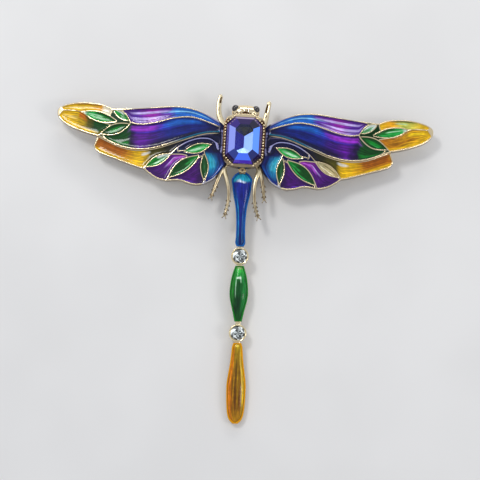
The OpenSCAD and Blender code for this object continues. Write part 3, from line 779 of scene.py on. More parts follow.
@dataclass
class CastPlate:
    """A flat cast part with rounded edges and sunk cells."""

    outer: Loop
    face: Height
    thick: float
    hollows: tuple[Loop, ...] = ()
    hollow_depth: float = 0.45
    edge: float = 0.13
    drop: float = 0.09
    grid: float = 0.9
    floors: bool = False
    band: float = 0.06
    # Painted shade on the outer wall
    wall_shade: float = 0.8
    dress: Callable[[Array], dict[str, Array]] | None = None

    def values(self, points: Array, recess: Array | float,
               cover: Array | float = 1.0) -> dict[str, Array]:
        """The attributes of some points: their painted shade, and how far the wash covers them."""
        extra = self.dress(points) if self.dress else {}
        if "wash" in extra:
            extra = {**extra, "wash": extra["wash"] * cover}
        depth = np.full(len(points), 0.0) + recess
        if "recess" in extra:
            depth = np.maximum(depth, extra["recess"])
        return {**extra, "recess": depth}

    def height(self, points: Array, depth: Array) -> Array:
        """Height of the rounded surface.

        Args:
            points: Points in plan.
            depth: Their distance from the nearest edge.

        Returns:
            One height for each point.
        """
        off = 1 - np.minimum(depth / self.edge, 1)
        return self.face(points) - self.drop * (1 - np.sqrt(np.maximum(1 - off * off, 0)))

    def draft(self) -> Draft:
        """Draws the top, the walls of the cells, the outer wall and the underside."""
        loops = [self.outer, *self.hollows]
        rings = [self.edge * share for share in EDGE_ROWS]
        points, triangles, depth = drape(loops, rings, self.grid)
        draft = Draft()
        # Painted shade where the top rounds off towards its edges
        shade = 0.25 * (1 - np.minimum(depth / self.edge, 1)) ** 2
        draft.add(raised(points, self.height(points, depth)), triangles,
                  **self.values(points, shade))
        self.add_outside(draft)
        for loop in self.hollows:
            self.add_hollow(draft, loop)
        return draft

    def add_outside(self, draft: Draft) -> None:
        """Adds the outer wall, the lower edge and the underside."""
        loop = self.outer
        face = self.face(loop)
        both = np.concatenate([loop, loop])
        low = self.thick - self.drop * 0.6
        drops = (self.drop, self.drop + self.band, low - self.band, low)
        rows = [raised(loop, face - drop) for drop in drops]
        for i, (upper, lower) in enumerate(zip(rows, rows[1:])):
            cover = np.repeat(WALL_COVER[i:i + 2], len(loop))
            draft.skirt(upper, lower, False, self.values(both, self.wall_shade, cover))
        inner = moved_out(loop, -self.edge * 0.5)
        foot = raised(inner, self.face(inner) - self.thick)
        draft.skirt(rows[-1], foot, False, {"recess": np.full(2 * len(loop), LOWER_EDGE)})
        holes = self.hollows if self.hollow_depth >= self.thick else ()
        under, flat, _ = drape([inner, *holes], [0.3], 1.6)
        draft.add(raised(under, self.face(under) - self.thick), [t[::-1] for t in flat],
                  recess=np.full(len(under), UNDERSIDE))

    def add_hollow(self, draft: Draft, loop: Loop) -> None:
        """Adds the wall of one cell, and its floor where it has one of its own."""
        face = self.face(loop)
        draft.skirt(raised(loop, face - self.drop), raised(loop, face - self.hollow_depth), True,
                    self.values(np.concatenate([loop, loop]), CELL_WALL))
        if self.floors:
            floor, flat, _ = drape([loop], [0.05], 0.3)
            draft.add(raised(floor, self.face(floor) - self.hollow_depth), flat,
                      recess=np.full(len(floor), CELL_FLOOR))


@dataclass
class PouredFill:
    """Enamel poured into one cell, with a meniscus at the metal and soft flutes along it."""

    outline: Loop
    face: Height
    axis: float = 0.0
    sink: float = 0.09
    dip: float = 0.13
    creep: float = 0.16
    flutes: float = 0.0
    flute_depth: float = 0.012
    flute_rim: float = 0.35
    deep: float = 0.44
    rings: tuple[float, ...] = (0.03, 0.09, 0.18, 0.3)
    grid: float = 0.32
    under_grid: float = 1.5

    def draft(self) -> Draft:
        """Draws the glassy surface with its attributes, and the body below it."""
        loop = self.outline
        points, triangles, depth = drape([loop], self.rings, self.grid)
        turn = math.radians(-self.axis)
        spin = np.array([[math.cos(turn), -math.sin(turn)], [math.sin(turn), math.cos(turn)]])
        flow, rim = points @ spin.T, loop @ spin.T
        across = across_slices(flow, rim)
        low, high = rim[:, 0].min(), rim[:, 0].max()
        along = (flow[:, 0] - low) / (high - low)
        inner = 1 - np.exp(-depth / self.creep)
        height = self.face(points) - self.sink - self.dip * inner
        if self.flutes:
            wave = np.cos(2 * math.pi * self.flutes * across)
            height -= self.flute_depth * wave * (1 - np.exp(-depth / self.flute_rim))
        draft = Draft()
        draft.add(raised(points, height), triangles, along=along, across=across)
        top = raised(loop, self.face(loop) - self.sink)
        bottom = raised(loop, self.face(loop) - self.deep)
        draft.skirt(top, bottom, False)
        under, flat, _ = drape([loop], [0.4], self.under_grid)
        draft.add(raised(under, self.face(under) - self.deep), [t[::-1] for t in flat])
        return draft


@dataclass
class BeadRow:
    """A row of small half-sunk beads along a path, made by Geometry Nodes."""

    name: str
    path: Array
    pitch: float
    size: float
    segments: int = 12
    rings: int = 8
    squeeze: float = 0.74

    def tree(self, material: Material) -> bpy.types.NodeTree:
        """Builds the node tree.

        Args:
            material: Finish of the beads.

        Returns:
            The tree, with the inputs Pitch and Bead Size.
        """
        tree = bpy.data.node_groups.new(self.name + "_rule", "GeometryNodeTree")
        tree.interface.new_socket("Geometry", in_out="INPUT", socket_type="NodeSocketGeometry")
        for name in ("Pitch", "Bead Size"):
            tree.interface.new_socket(name, in_out="INPUT", socket_type="NodeSocketFloat")
        tree.interface.new_socket("Geometry", in_out="OUTPUT", socket_type="NodeSocketGeometry")
        add = tree.nodes.new
        given, out = add("NodeGroupInput"), add("NodeGroupOutput")
        curve = add("GeometryNodeMeshToCurve")
        even = add("GeometryNodeResampleCurve")
        even.mode = "LENGTH"
        tangent = add("GeometryNodeInputTangent")
        aim = add("FunctionNodeAlignRotationToVector")
        aim.axis = "X"
        bead = add("GeometryNodeMeshUVSphere")
        bead.inputs["Segments"].default_value = self.segments
        bead.inputs["Rings"].default_value = self.rings
        bead.inputs["Radius"].default_value = 0.5
        smooth = add("GeometryNodeSetShadeSmooth")
        place = add("GeometryNodeInstanceOnPoints")
        shorter = add("ShaderNodeMath")
        shorter.operation = "MULTIPLY"
        shorter.inputs[1].default_value = self.squeeze
        squeeze = add("ShaderNodeCombineXYZ")
        solid = add("GeometryNodeRealizeInstances")
        dress = add("GeometryNodeSetMaterial")
        dress.inputs["Material"].default_value = material
        for source, leaving, target, entering in (
            (given, "Geometry", curve, "Mesh"), (curve, "Curve", even, "Curve"),
            (given, "Pitch", even, "Length"), (even, "Curve", place, "Points"),
            (tangent, "Tangent", aim, "Vector"), (aim, "Rotation", place, "Rotation"),
            (bead, "Mesh", smooth, "Geometry"), (smooth, "Geometry", place, "Instance"),
            (given, "Pitch", shorter, 0), (shorter, 0, squeeze, "X"),
            (given, "Bead Size", squeeze, "Y"), (given, "Bead Size", squeeze, "Z"),
            (squeeze, "Vector", place, "Scale"), (place, "Instances", solid, "Geometry"),
            (solid, "Geometry", dress, "Geometry"), (dress, "Geometry", out, "Geometry"),
        ):
            tree.links.new(source.outputs[leaving], target.inputs[entering])
        return tree

    def made(self, material: Material) -> Piece:
        """Makes the row and turns it into a plain mesh.

        Args:
            material: Finish of the beads.

        Returns:
            The object with all its beads.
        """
        mesh = bpy.data.meshes.new(self.name)
        edges = [(i, i + 1) for i in range(len(self.path) - 1)]
        mesh.from_pydata((self.path * MM).tolist(), edges, [])
        piece = shown(self.name, mesh)
        tree = self.tree(material)
        rule = piece.modifiers.new("beads", "NODES")
        rule.node_group = tree
        sizes = {"Pitch": self.pitch * MM, "Bead Size": self.size * MM}
        for item in tree.interface.items_tree:
            if item.in_out == "INPUT" and item.name in sizes:
                rule[item.identifier] = sizes[item.name]
        bpy.context.view_layer.update()
        graph = bpy.context.evaluated_depsgraph_get()
        plain = bpy.data.meshes.new_from_object(piece.evaluated_get(graph))
        piece.modifiers.clear()
        piece.data = plain
        bpy.data.meshes.remove(mesh)
        return piece


def finish_piece(piece: Piece, slot: Slot, *nodes: str) -> None:
    """Hands a finished piece to the frame.

    Args:
        piece: The piece, in place.
        slot: Material slot that it would take its finish from; not used.
        *nodes: CAD nodes that it stands for.
    """
    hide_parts(*nodes)
    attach(piece, "root")
    LOG.info("%s: %d faces, stands for %s", piece.name, len(piece.data.polygons), ", ".join(nodes))


# Wings

# Outlines of a wing from root to tip, as (out, fore): percent of its reach and of its chord
LEAD = (
    (8, 11), (12.3, 20.3), (16.3, 25.4), (21.8, 31.3), (28, 35.8), (35, 37.6), (42, 36.9),
    (48.8, 35.2), (55.8, 33.6), (62.7, 32.6), (70.4, 31.7),
)
LEAD_TIP = (
    (70.4, 31.7), (75.6, 36.2), (82, 38.2), (89, 38.2), (95.3, 35.6), (98.8, 32), (100, 28.5),
)
TRAIL_TIP = ((100, 28.5), (99.6, 21.8), (96.2, 14.4), (90.2, 7.8), (83, 2.6), (77.4, -0.4))
TRAIL = (
    (77.4, -0.4), (72.9, -4.6), (68.7, -8.9), (63.9, -12.4), (57.6, -14.4), (51, -13.7),
    (45, -10.8), (38.2, -5.6), (31.3, 0.4), (25.1, 5.3), (19.5, 8.5), (13.5, 9.6), (8, 9.4),
)
RIDGE = (
    (38, -16.4), (34.6, -8.8), (30, -2.4), (25.4, 1.6), (21.7, 2.9), (17.9, 2.3), (15, -1.4),
    (13.8, -8), (11.6, -13),
)
HIND_RIMS = (
    ((78.6, -5.5), (79.3, -12), (77.2, -17.5), (72.7, -21.7), (67.8, -25), (62.2, -29.2),
     (56.5, -33.3), (52.2, -35.6)),
    ((52.2, -35.6), (48.6, -41.5), (44.4, -46.6), (39.8, -48.6)),
    ((39.8, -48.6), (35.4, -47.4), (31.8, -47.7), (28.2, -50.2), (24, -51.6), (19.9, -50.2)),
    ((19.9, -50.2), (15.6, -44.9), (12.2, -37), (9.4, -27)),
)


@dataclass(frozen=True)
class CellLook:
    """How one cell of a wing is filled."""

    finish: Enamel
    slot: Slot
    axis: float = 0.0
    flutes: float = 0.0


@dataclass(frozen=True)
class Wash:
    """Enamel on the metal along one curve of a wing; some washes are painted highlights.

    Attributes:
        rows: The curve, as (out, fore) in percent.
        width: Distances from it up to which the wash is full and from which there is none, in
            millimetres.
        ends: The same along the wing, in percent of its reach.
        strength: The greatest share of enamel.
    """

    rows: tuple[tuple[float, float], ...]
    width: tuple[float, float]
    ends: tuple[float, float] = (100, 101)
    strength: float = 1.0


REAR_WASH = Wash(TRAIL, (0.3, 0.5), (32, 43))
# Along the leading edge and the fourth hind rim the enamel is mixed with a painted lilac highlight;
# along the ridge it is a painted lilac highlight
LEAD_WASH = Wash(LEAD, (0.25, 0.45), (17, 30), 0.8)
RIDGE_HIGHLIGHT = Wash(RIDGE[:-1], (0.2, 0.32), (31, 37))
RIM_WASH = Wash(HIND_RIMS[3], (0.25, 0.4), strength=0.6)
# Highlight on the navy flank beside the setting
FLANK_LIGHT = Wash(((11.9, 12), (11.4, 4), (11.4, -6), (12.4, -16)), (0.05, 0.2))
# Where the flank fades out and where the bare gold of the tip begins, in percent of the reach
FLANK_END = (13, 16)
TIP_START = (80, 88)

BLACK = (0.002, 0.003, 0.006)
NAVY = (0.003, 0.004, 0.045)
DEEP_BLUE = (0.004, 0.012, 0.17)
BRIGHT_BLUE = (0.008, 0.13, 0.55)
SKY = (0.25, 0.62, 0.95)
VIOLET = (0.1, 0.02, 0.36)
MAGENTA = (0.3, 0.01, 0.36)
PURPLE = (0.045, 0.004, 0.12)
DARK_PURPLE = (0.012, 0.003, 0.045)
LILAC = (0.6, 0.48, 0.9)
PINK = (0.5, 0.09, 0.66)
YELLOW = (0.85, 0.5, 0.006)
PALE_YELLOW = (1.0, 0.8, 0.3)
CREAM = (0.95, 0.85, 0.62)
ORANGE = (0.55, 0.13, 0.004)
OLIVE = (0.09, 0.08, 0.004)
GREEN = (0.002, 0.25, 0.022)
DARK_GREEN = (0.001, 0.062, 0.006)
BRIGHT_GREEN = (0.02, 0.42, 0.07)
MINT = (0.5, 0.85, 0.55)
WHITE = (0.9, 0.95, 0.92)

# In CELLS and RIGHT_CELLS, streaks and stops in WHITE, MINT, LILAC, PINK, SKY and PALE_YELLOW, and
# bright streaks that hug a cell's lower rim, are painted highlights
CELLS: dict[str, CellLook] = {
    "fore_upper": CellLook(Enamel(
        "flute_violet",
        ((0.0, (0.03, 0.06, 0.3)), (0.14, BRIGHT_BLUE), (0.42, BRIGHT_BLUE), (0.52, VIOLET),
         (0.7, MAGENTA), (0.86, VIOLET), (1.0, PURPLE)),
        (Streak(0.6, 0.13, 0.02, 0.62, SKY, 0.9), Streak(0.7, 0.12, 0.46, 0.98, LILAC, 0.95),
         Streak(0.3, 0.13, 0.5, 1.0, LILAC, 0.85), Streak(0.08, 0.09, 0.4, 0.95, LILAC, 0.6),
         Streak(0.95, 0.12, 0.4, 1.0, PURPLE, 0.8)),
    ), Slot.VIOLET, 0.0, 2.0),
    # Here the bright blue and the light magenta streaks are painted highlights, and the black one
    # painted shade
    "fore_middle": CellLook(Enamel(
        "flute_blue",
        ((0.0, NAVY), (0.2, DEEP_BLUE), (0.4, (0.006, 0.014, 0.2)), (0.56, (0.035, 0.006, 0.16)),
         (0.66, (0.09, 0.006, 0.25)), (0.75, DARK_PURPLE), (0.79, DARK_GREEN), (1.0, DARK_GREEN)),
        (Streak(0.76, 0.2, 0.3, 0.8, (0.03, 0.025, 0.5), 0.75),
         Streak(0.8, 0.2, 0.1, 0.52, BRIGHT_BLUE, 0.8),
         Streak(0.8, 0.15, 0.46, 0.82, (0.36, 0.03, 0.6), 0.85),
         Streak(0.1, 0.16, 0.05, 0.7, BLACK, 0.8), Streak(0.2, 0.12, 0.76, 0.95, GREEN, 0.8)),
    ), Slot.BLUE, 0.0, 2.0),
    "amber_upper": CellLook(Enamel(
        "lobe_amber_upper",
        ((0.0, CREAM), (0.13, CREAM), (0.22, (0.8, 0.36, 0.01)), (0.5, YELLOW), (1.0, YELLOW)),
        (Streak(0.92, 0.2, 0.12, 0.9, (0.35, 0.16, 0.004), 0.85),
         Streak(0.5, 0.16, 0.3, 1.0, PALE_YELLOW, 0.6)),
    ), Slot.AMBER),
    "amber_lower": CellLook(Enamel(
        "lobe_amber_lower",
        ((0.0, DARK_GREEN), (0.26, DARK_GREEN), (0.4, OLIVE), (0.56, (0.5, 0.31, 0.003)),
         (0.85, YELLOW), (1.0, YELLOW)),
        (Streak(0.85, 0.3, 0.42, 0.66, ORANGE, 0.9), Streak(0.12, 0.16, 0.12, 1.0, YELLOW, 0.95),
         Streak(0.6, 0.14, 0.62, 1.0, PALE_YELLOW, 0.5)),
    ), Slot.AMBER),
    "leaf_1": CellLook(Enamel(
        "leaf_mint", ((0.0, GREEN), (0.6, GREEN), (1.0, BRIGHT_GREEN)),
        (Streak(0.85, 0.25, 0.35, 1.0, WHITE, 0.7), Streak(0.12, 0.16, 0.0, 0.5, MINT, 0.9)),
    ), Slot.GREEN, 50.0),
    "leaf_2": CellLook(Enamel(
        "leaf_pale", ((0.0, DARK_GREEN), (0.4, GREEN), (0.84, BRIGHT_GREEN), (1.0, WHITE)),
        (Streak(0.62, 0.1, 0.3, 0.98, MINT, 0.85), Streak(0.88, 0.18, 0.0, 0.72, DARK_GREEN, 0.9),
         Streak(0.3, 0.2, 0.1, 0.6, BRIGHT_GREEN, 0.8)),
    ), Slot.GREEN, 12.0),
    "leaf_3": CellLook(Enamel(
        "leaf_dark", ((0.0, DARK_GREEN), (1.0, DARK_GREEN)),
        (Streak(0.5, 0.28, 0.1, 0.85, GREEN, 0.9), Streak(0.3, 0.1, 0.3, 0.8, BRIGHT_GREEN, 0.6)),
    ), Slot.GREEN, -35.0),
    "leaf_4": CellLook(Enamel(
        "leaf_white", ((0.0, WHITE), (0.2, (0.2, 0.4, 0.24)), (0.5, GREEN), (1.0, GREEN)),
        (Streak(0.85, 0.3, 0.05, 0.5, WHITE, 0.9), Streak(0.3, 0.2, 0.2, 0.8, MINT, 0.7),
         Streak(0.6, 0.12, 0.35, 0.95, DARK_GREEN, 0.8)),
    ), Slot.GREEN, -51.0),
    "leaf_5": CellLook(Enamel(
        "leaf_bright", ((0.0, BRIGHT_GREEN), (0.6, BRIGHT_GREEN), (1.0, GREEN)),
        (Streak(0.45, 0.22, 0.15, 1.0, MINT, 0.95), Streak(0.88, 0.2, 0.1, 0.9, DARK_GREEN, 0.85),
         Streak(0.05, 0.16, 0.3, 0.9, GREEN, 0.8)),
    ), Slot.GREEN, -35.0),
    "leaf_6": CellLook(Enamel(
        "leaf_deep", ((0.0, GREEN), (0.35, DARK_GREEN), (1.0, DARK_GREEN)),
        (Streak(0.16, 0.1, 0.05, 1.0, BRIGHT_GREEN, 0.95),
         Streak(0.45, 0.16, 0.1, 0.5, BRIGHT_GREEN, 0.7)),
    ), Slot.GREEN, -60.0),
    "leaf_7": CellLook(Enamel(
        "leaf_shaded", ((0.0, (0.03, 0.09, 0.04)), (0.3, DARK_GREEN), (1.0, DARK_GREEN)),
        (Streak(0.55, 0.2, 0.1, 0.8, (0.02, 0.13, 0.04), 0.8),),
    ), Slot.GREEN, -93.0),
    "hind_band": CellLook(Enamel(
        "band_amber",
        ((0.0, NAVY), (0.3, NAVY), (0.42, (0.02, 0.02, 0.008)), (0.55, OLIVE), (0.62, YELLOW),
         (0.8, YELLOW), (1.0, YELLOW)),
        (Streak(0.8, 1.0, 0.66, 1.1, (0.44, 0.11, 0.002), 0.97),
         Streak(0.8, 0.14, 0.54, 0.66, WHITE, 0.8), Streak(0.06, 0.22, 0.7, 1.2, YELLOW, 0.9),
         Streak(0.85, 0.12, 0.02, 0.3, LILAC, 0.4)),
    ), Slot.BAND),
    "hind_outer": CellLook(Enamel(
        "field_purple", ((0.0, (0.25, 0.02, 0.32)), (0.4, (0.09, 0.006, 0.2)), (1.0, PURPLE)),
        (Streak(0.5, 0.2, -0.1, 0.6, PINK, 0.95), Streak(0.6, 0.08, 0.1, 0.7, LILAC, 0.6)),
    ), Slot.PURPLE, -50.0, 1.0),
    "hind_middle": CellLook(Enamel(
        "field_plum", ((0.0, DARK_PURPLE), (0.3, (0.06, 0.004, 0.15)), (1.0, DARK_PURPLE)),
        (Streak(0.08, 0.1, 0.2, 0.95, VIOLET, 0.9),),
    ), Slot.PURPLE, 0.0, 1.0),
    "hind_root": CellLook(Enamel(
        "field_teal", ((0.0, NAVY), (0.25, NAVY), (0.45, DEEP_BLUE), (1.0, DEEP_BLUE)),
        (Streak(0.78, 0.62, 0.22, 0.95, (0.008, 0.2, 0.42), 0.9),
         Streak(0.86, 0.3, 0.3, 0.75, (0.03, 0.42, 0.55), 0.85),
         Streak(0.62, 0.12, 0.4, 0.7, (0.08, 0.5, 0.66), 0.6),
         Streak(0.1, 0.12, 0.5, 1.0, BRIGHT_BLUE, 0.7)),
    ), Slot.TEAL, -90.0),
}
RIGHT_CELLS: dict[str, CellLook] = {
    "amber_upper": CellLook(Enamel(
        "lobe_amber_striped",
        ((0.0, YELLOW), (0.25, (0.9, 0.42, 0.01)), (0.5, (0.6, 0.62, 0.1)), (1.0, YELLOW)),
        (Streak(0.95, 0.2, 0.2, 0.8, (0.06, 0.09, 0.01), 0.85),
         Streak(0.6, 0.14, 0.3, 0.6, MINT, 0.6)),
    ), Slot.AMBER),
    "amber_lower": CellLook(Enamel(
        "lobe_amber_burnt",
        ((0.0, (0.5, 0.17, 0.003)), (0.3, (0.5, 0.2, 0.004)), (0.6, (0.6, 0.3, 0.005)),
         (1.0, YELLOW)),
        (Streak(0.1, 0.14, 0.0, 1.0, YELLOW, 0.9),
         Streak(0.45, 0.12, 0.2, 0.8, (0.36, 0.13, 0.002), 0.8),
         Streak(0.75, 0.14, 0.5, 0.95, (1.0, 0.7, 0.01), 0.8)),
    ), Slot.AMBER),
    "leaf_1": CellLook(Enamel(
        "leaf_frosted", ((0.0, GREEN), (0.4, (0.2, 0.45, 0.26)), (1.0, WHITE)),
        (Streak(0.4, 0.16, 0.1, 0.95, GREEN, 0.85), Streak(0.8, 0.14, 0.1, 0.9, WHITE, 0.8)),
    ), Slot.GREEN, 50.0),
    "leaf_4": CellLook(Enamel(
        "leaf_straw", ((0.0, (0.5, 0.45, 0.24)), (0.5, (0.6, 0.5, 0.26)), (1.0, (0.5, 0.38, 0.14))),
        (Streak(0.3, 0.1, 0.0, 1.0, (0.9, 0.85, 0.62), 0.8),
         Streak(0.75, 0.12, 0.1, 0.9, OLIVE, 0.7)),
    ), Slot.GREEN, -51.0),
}
FORE_CELLS = (
    "fore_upper", "fore_middle", "amber_upper", "amber_lower", "leaf_1", "leaf_2", "leaf_3",
)
HIND_CELLS = (
    "hind_band", "hind_outer", "hind_middle", "hind_root", "leaf_4", "leaf_5", "leaf_6", "leaf_7",
)


@dataclass(frozen=True)
class Layer:
    """One plate of a wing: its cells, its face's height, its outline, its walls and its wash."""

    cells: tuple[str, ...]
    top: float
    outline: Loop
    walls: tuple[Loop, ...]
    wash: Callable[..., dict[str, Array]]


@dataclass
class Wing:
    """The forewing and hindwing on one side: cast plates, their wires and their enamel."""

    side: Side
    gold: Material
    shift: float
    reach: float = 32.5
    chord: float = 15.0
    fore_top: float = 5.9
    hind_step: float = 0.8
    droop: float = 2.6
    plate: float = 1.3
    gap: float = 0.05
    pitch: float = 0.16
    base: tuple[float, float] = (2.8, -3.1)

    def face(self, top: float) -> Height:
        """The wing's face, which droops to the tip, as a height above the floor."""
        radius = (self.reach ** 2 + self.droop ** 2) / (2 * self.droop)
        return lambda points: top - radius + np.sqrt(radius ** 2 - points[:, 0] ** 2)

    def placed(self, rows: Sequence[Sequence[float]]) -> Loop:
        """A table's smooth curve in millimetres, in the brooch's place."""
        curve = spline(rows) * (self.reach / 100, self.chord / 100)
        return curve + (0, self.shift)

    def fore_outline(self) -> Loop:
        """Outline of the forewing."""
        rows = (LEAD, LEAD_TIP, TRAIL_TIP, TRAIL)
        return smooth_loop(joined(*(self.placed(part) for part in rows)), self.pitch)

    def hind_outline(self) -> Loop:
        """Outline of the hindwing, which reaches under the forewing's rear edge."""
        rims = [self.placed(part) for part in HIND_RIMS]
        root = np.array([self.base]) + (0, self.shift)
        cover = self.placed(TRAIL)[::-1] + (0, 0.6)
        return smooth_loop(joined(*rims, root, cover), self.pitch)

    def walls(self, cells: Sequence[str], rim: Loop) -> tuple[Loop, ...]:
        """The inner walls of some cells, from the outlines of their fills.

        Args:
            cells: Names of the cells.
            rim: Outline of their wing, along which the metal keeps its full width.

        Returns:
            One loop for each cell.
        """
        loops = []
        for cell in cells:
            loop = smooth_loop(joined(node_outline("right_" + cell)), self.pitch)
            inside = 1 - fading(distance_to(loop, [rim]), 0.25, 0.4)[:, None]
            loops.append(loop + (moved_out(loop, 2 * self.gap) - loop) * inside)
        return tuple(loops)

    def out(self, points: Array) -> Array:
        """How far out some points lie, in percent of the reach."""
        return points[:, 0] / self.reach * 100

    def washed(self, points: Array, wash: Wash) -> Array:
        """The share of a wash's enamel on some points in plan."""
        curve = self.placed(wash.rows)
        near = fading(distance_to(points, [np.concatenate([curve, curve[::-1]])]), *wash.width)
        return near * fading(self.out(points), *wash.ends) * wash.strength

    def spare(self, points: Array, edges: Sequence[Loop]) -> Array:
        """How much of the metal is broader than a wire, short of the wing's tip.

        Args:
            points: Points in plan.
            edges: Outline of the wing and walls of its cells.

        Returns:
            One share for each point.
        """
        broad = 1 - fading(distance_to(points, edges), 0.12, 0.18)
        return broad * fading(self.out(points), *TIP_START)

    def fore_wash(self, points: Array, edges: Sequence[Loop]) -> dict[str, Array]:
        """Enamel on the forewing's metal: navy by the body, teal and blue along the edges.

        Args:
            points: Points in plan.
            edges: Outline of the wing and walls of its cells.

        Returns:
            The share of enamel and its shade, for each point.
        """
        out = self.out(points)
        body = fading(out, *FLANK_END)
        rear, fore = self.washed(points, REAR_WASH), self.washed(points, LEAD_WASH)
        # The flank leans to the lilac of FLANK_LIGHT, a painted highlight; the 0.5 of the leading
        # edge mixes navy with that lilac
        flank = 0.2 + 0.5 * self.washed(points, FLANK_LIGHT)
        shade = np.where(rear > body, 1.0, np.where(fore > body, 0.5, flank))
        wash = np.maximum.reduce([body, rear, fore, self.spare(points, edges)])
        return {"wash": wash, "shade": np.where(out > 50, 0.0, shade)}

    def hind_wash(self, points: Array, edges: Sequence[Loop]) -> dict[str, Array]:
        """Enamel on the hindwing's metal: a navy flank and a ridge, each with a painted highlight.

        Args:
            points: Points in plan.
            edges: Outline of the wing and walls of its cells.

        Returns:
            The share of enamel and its shade, for each point.
        """
        body = fading(self.out(points), *FLANK_END)
        ridge, rim = self.washed(points, RIDGE_HIGHLIGHT), self.washed(points, RIM_WASH)
        # The flank leans to the painted lilac highlight of FLANK_LIGHT; the ridge takes it at 0.68,
        # and the rim's 0.85 mixes it with teal
        flank = 0.2 + 0.5 * self.washed(points, FLANK_LIGHT)
        shade = np.where(ridge > 0.3, 0.68, np.where(rim > body, 0.85, flank))
        wash = np.maximum.reduce([body, ridge, rim, self.spare(points, edges)])
        return {"wash": wash, "shade": shade}

    def layers(self) -> list[Layer]:
        """The forewing and the hindwing, which lies a step lower."""
        fore, hind = self.fore_outline(), self.hind_outline()
        return [
            Layer(FORE_CELLS, self.fore_top, fore, self.walls(FORE_CELLS, fore), self.fore_wash),
            Layer(HIND_CELLS, self.fore_top - self.hind_step, hind, self.walls(HIND_CELLS, hind),
                  self.hind_wash),
        ]

    def metal(self) -> None:
        """Makes the cast plates with all their wires."""
        draft = Draft()
        for layer in self.layers():
            plate = CastPlate(
                layer.outline, self.face(layer.top), self.plate, layer.walls, edge=0.1, drop=0.08,
                grid=0.25, dress=partial(layer.wash, edges=[layer.outline, *layer.walls]),
            )
            draft.join(plate.draft())
        if self.side is Side.LEFT:
            draft = draft.mirrored()
        piece = draft.made(self.side.word + "_wing_metal", self.gold)
        finish_piece(piece, Slot.GOLD_CAST, "casting")

    def enamel(self, finishes: dict[str, Material]) -> None:
        """Pours the cells, one piece for each.

        Args:
            finishes: Material of each finish, by its name.
        """
        looks = CELLS if self.side is Side.LEFT else CELLS | RIGHT_CELLS
        for layer in self.layers():
            for cell, wall in zip(layer.cells, layer.walls):
                look = looks[cell]
                fill = PouredFill(wall, self.face(layer.top), look.axis, flutes=look.flutes).draft()
                if self.side is Side.LEFT:
                    fill = fill.mirrored()
                name = self.side.word + "_" + cell
                piece = fill.made(name + "_enamel", finishes[look.finish.name], POURED_CREASE)
                finish_piece(piece, look.slot, name)


# Body


def cut_corner_loop(width: float, length: float, corner: float, centre: float) -> Loop:
    """A rectangle with cut corners, anticlockwise, its middle at the given place along Y."""
    w, l, c = width / 2, length / 2, corner
    rows = (
        (w - c, -l), (w, -l + c), (w, l - c), (w - c, l),
        (c - w, l), (-w, l - c), (-w, c - l), (c - w, -l),
    )
    return np.array(rows) + (0, centre)


@dataclass
class Setting:
    """The setting with its beaded edge, and the block under it."""

    gold: Material
    shift: float
    inner: tuple[float, float] = (6.1, 8.1)
    wall: float = 0.42
    corner: float = 1.35
    top: float = 7.15
    under: float = 5.19
    foot: float = 3.05
    block: tuple[float, float] = (6.2, 6.8)
    notch: tuple[float, float] = (1.66, 0.65)
    pocket: tuple[float, float, float] = (2.6, 4.6, 0.44)
    bead: float = 0.42
    pitch: float = 0.5
    sunk: float = 0.12

    def rim(self, out: float) -> Loop:
        """The setting's outline, moved out from the stone's pocket."""
        width, length = (size + 2 * out for size in self.inner)
        return cut_corner_loop(width, length, self.corner + out * 0.6, self.shift)

    def block_loop(self) -> Loop:
        """Outline of the block, with the notch in which the jump ring hangs."""
        half, end = self.notch[0] / 2, self.shift - self.block[1] / 2
        inner = end + self.notch[1]
        notch = np.array([(-half, end), (-half, inner), (half, inner), (half, end)])
        corners = cut_corner_loop(self.block[0], self.block[1], self.corner, self.shift)
        return np.concatenate([corners, notch])

    def painted_wall_shade(self, points: Array) -> dict[str, Array]:
        """Paints shade on the wall between the beads, less at its rear and least at the head."""
        half = self.inner[1] / 2
        rear = fading(points[:, 1] - self.shift + half, 0.1, 0.7)
        front = fading(self.shift + half - points[:, 1], 0.1, 0.5)
        return {"recess": 0.95 - 0.3 * rear - 0.9 * front}

    def body(self) -> None:
        """Makes the wall round the stone and the block that carries it."""
        edge = self.top - self.sunk
        wall = CastPlate(
            smooth_loop(self.rim(self.wall), 0.15, 50), level(edge), edge - self.under,
            (smooth_loop(self.rim(0.0), 0.15, 20),), edge - self.under, edge=0.12, drop=0.1,
            dress=self.painted_wall_shade,
        ).draft()
        pocket = cut_corner_loop(self.pocket[0], self.pocket[1], self.corner / 2, self.shift)
        under = CastPlate(
            smooth_loop(self.block_loop(), 0.4, 20), level(self.under), self.under - self.foot,
            (smooth_loop(pocket, 0.4, 20),), self.pocket[2], edge=0.15, drop=0.12, floors=True,
        ).draft()
        finish_piece(wall.join(under).made("setting", self.gold), Slot.GOLD_CAST, "casting")

    def beads(self) -> None:
        """Makes the beads down both sides and round the corners."""
        middle = self.rim(self.wall * 0.5)
        height = self.top - self.bead / 2
        for side, corners in ((Side.RIGHT, middle[:4]), (Side.LEFT, middle[4:])):
            path = np.array([(*corner, height) for corner in corners])
            row = BeadRow("setting_beads_" + side.word, path, self.pitch, self.bead)
            finish_piece(row.made(self.gold), Slot.GOLD_CAST, "casting")


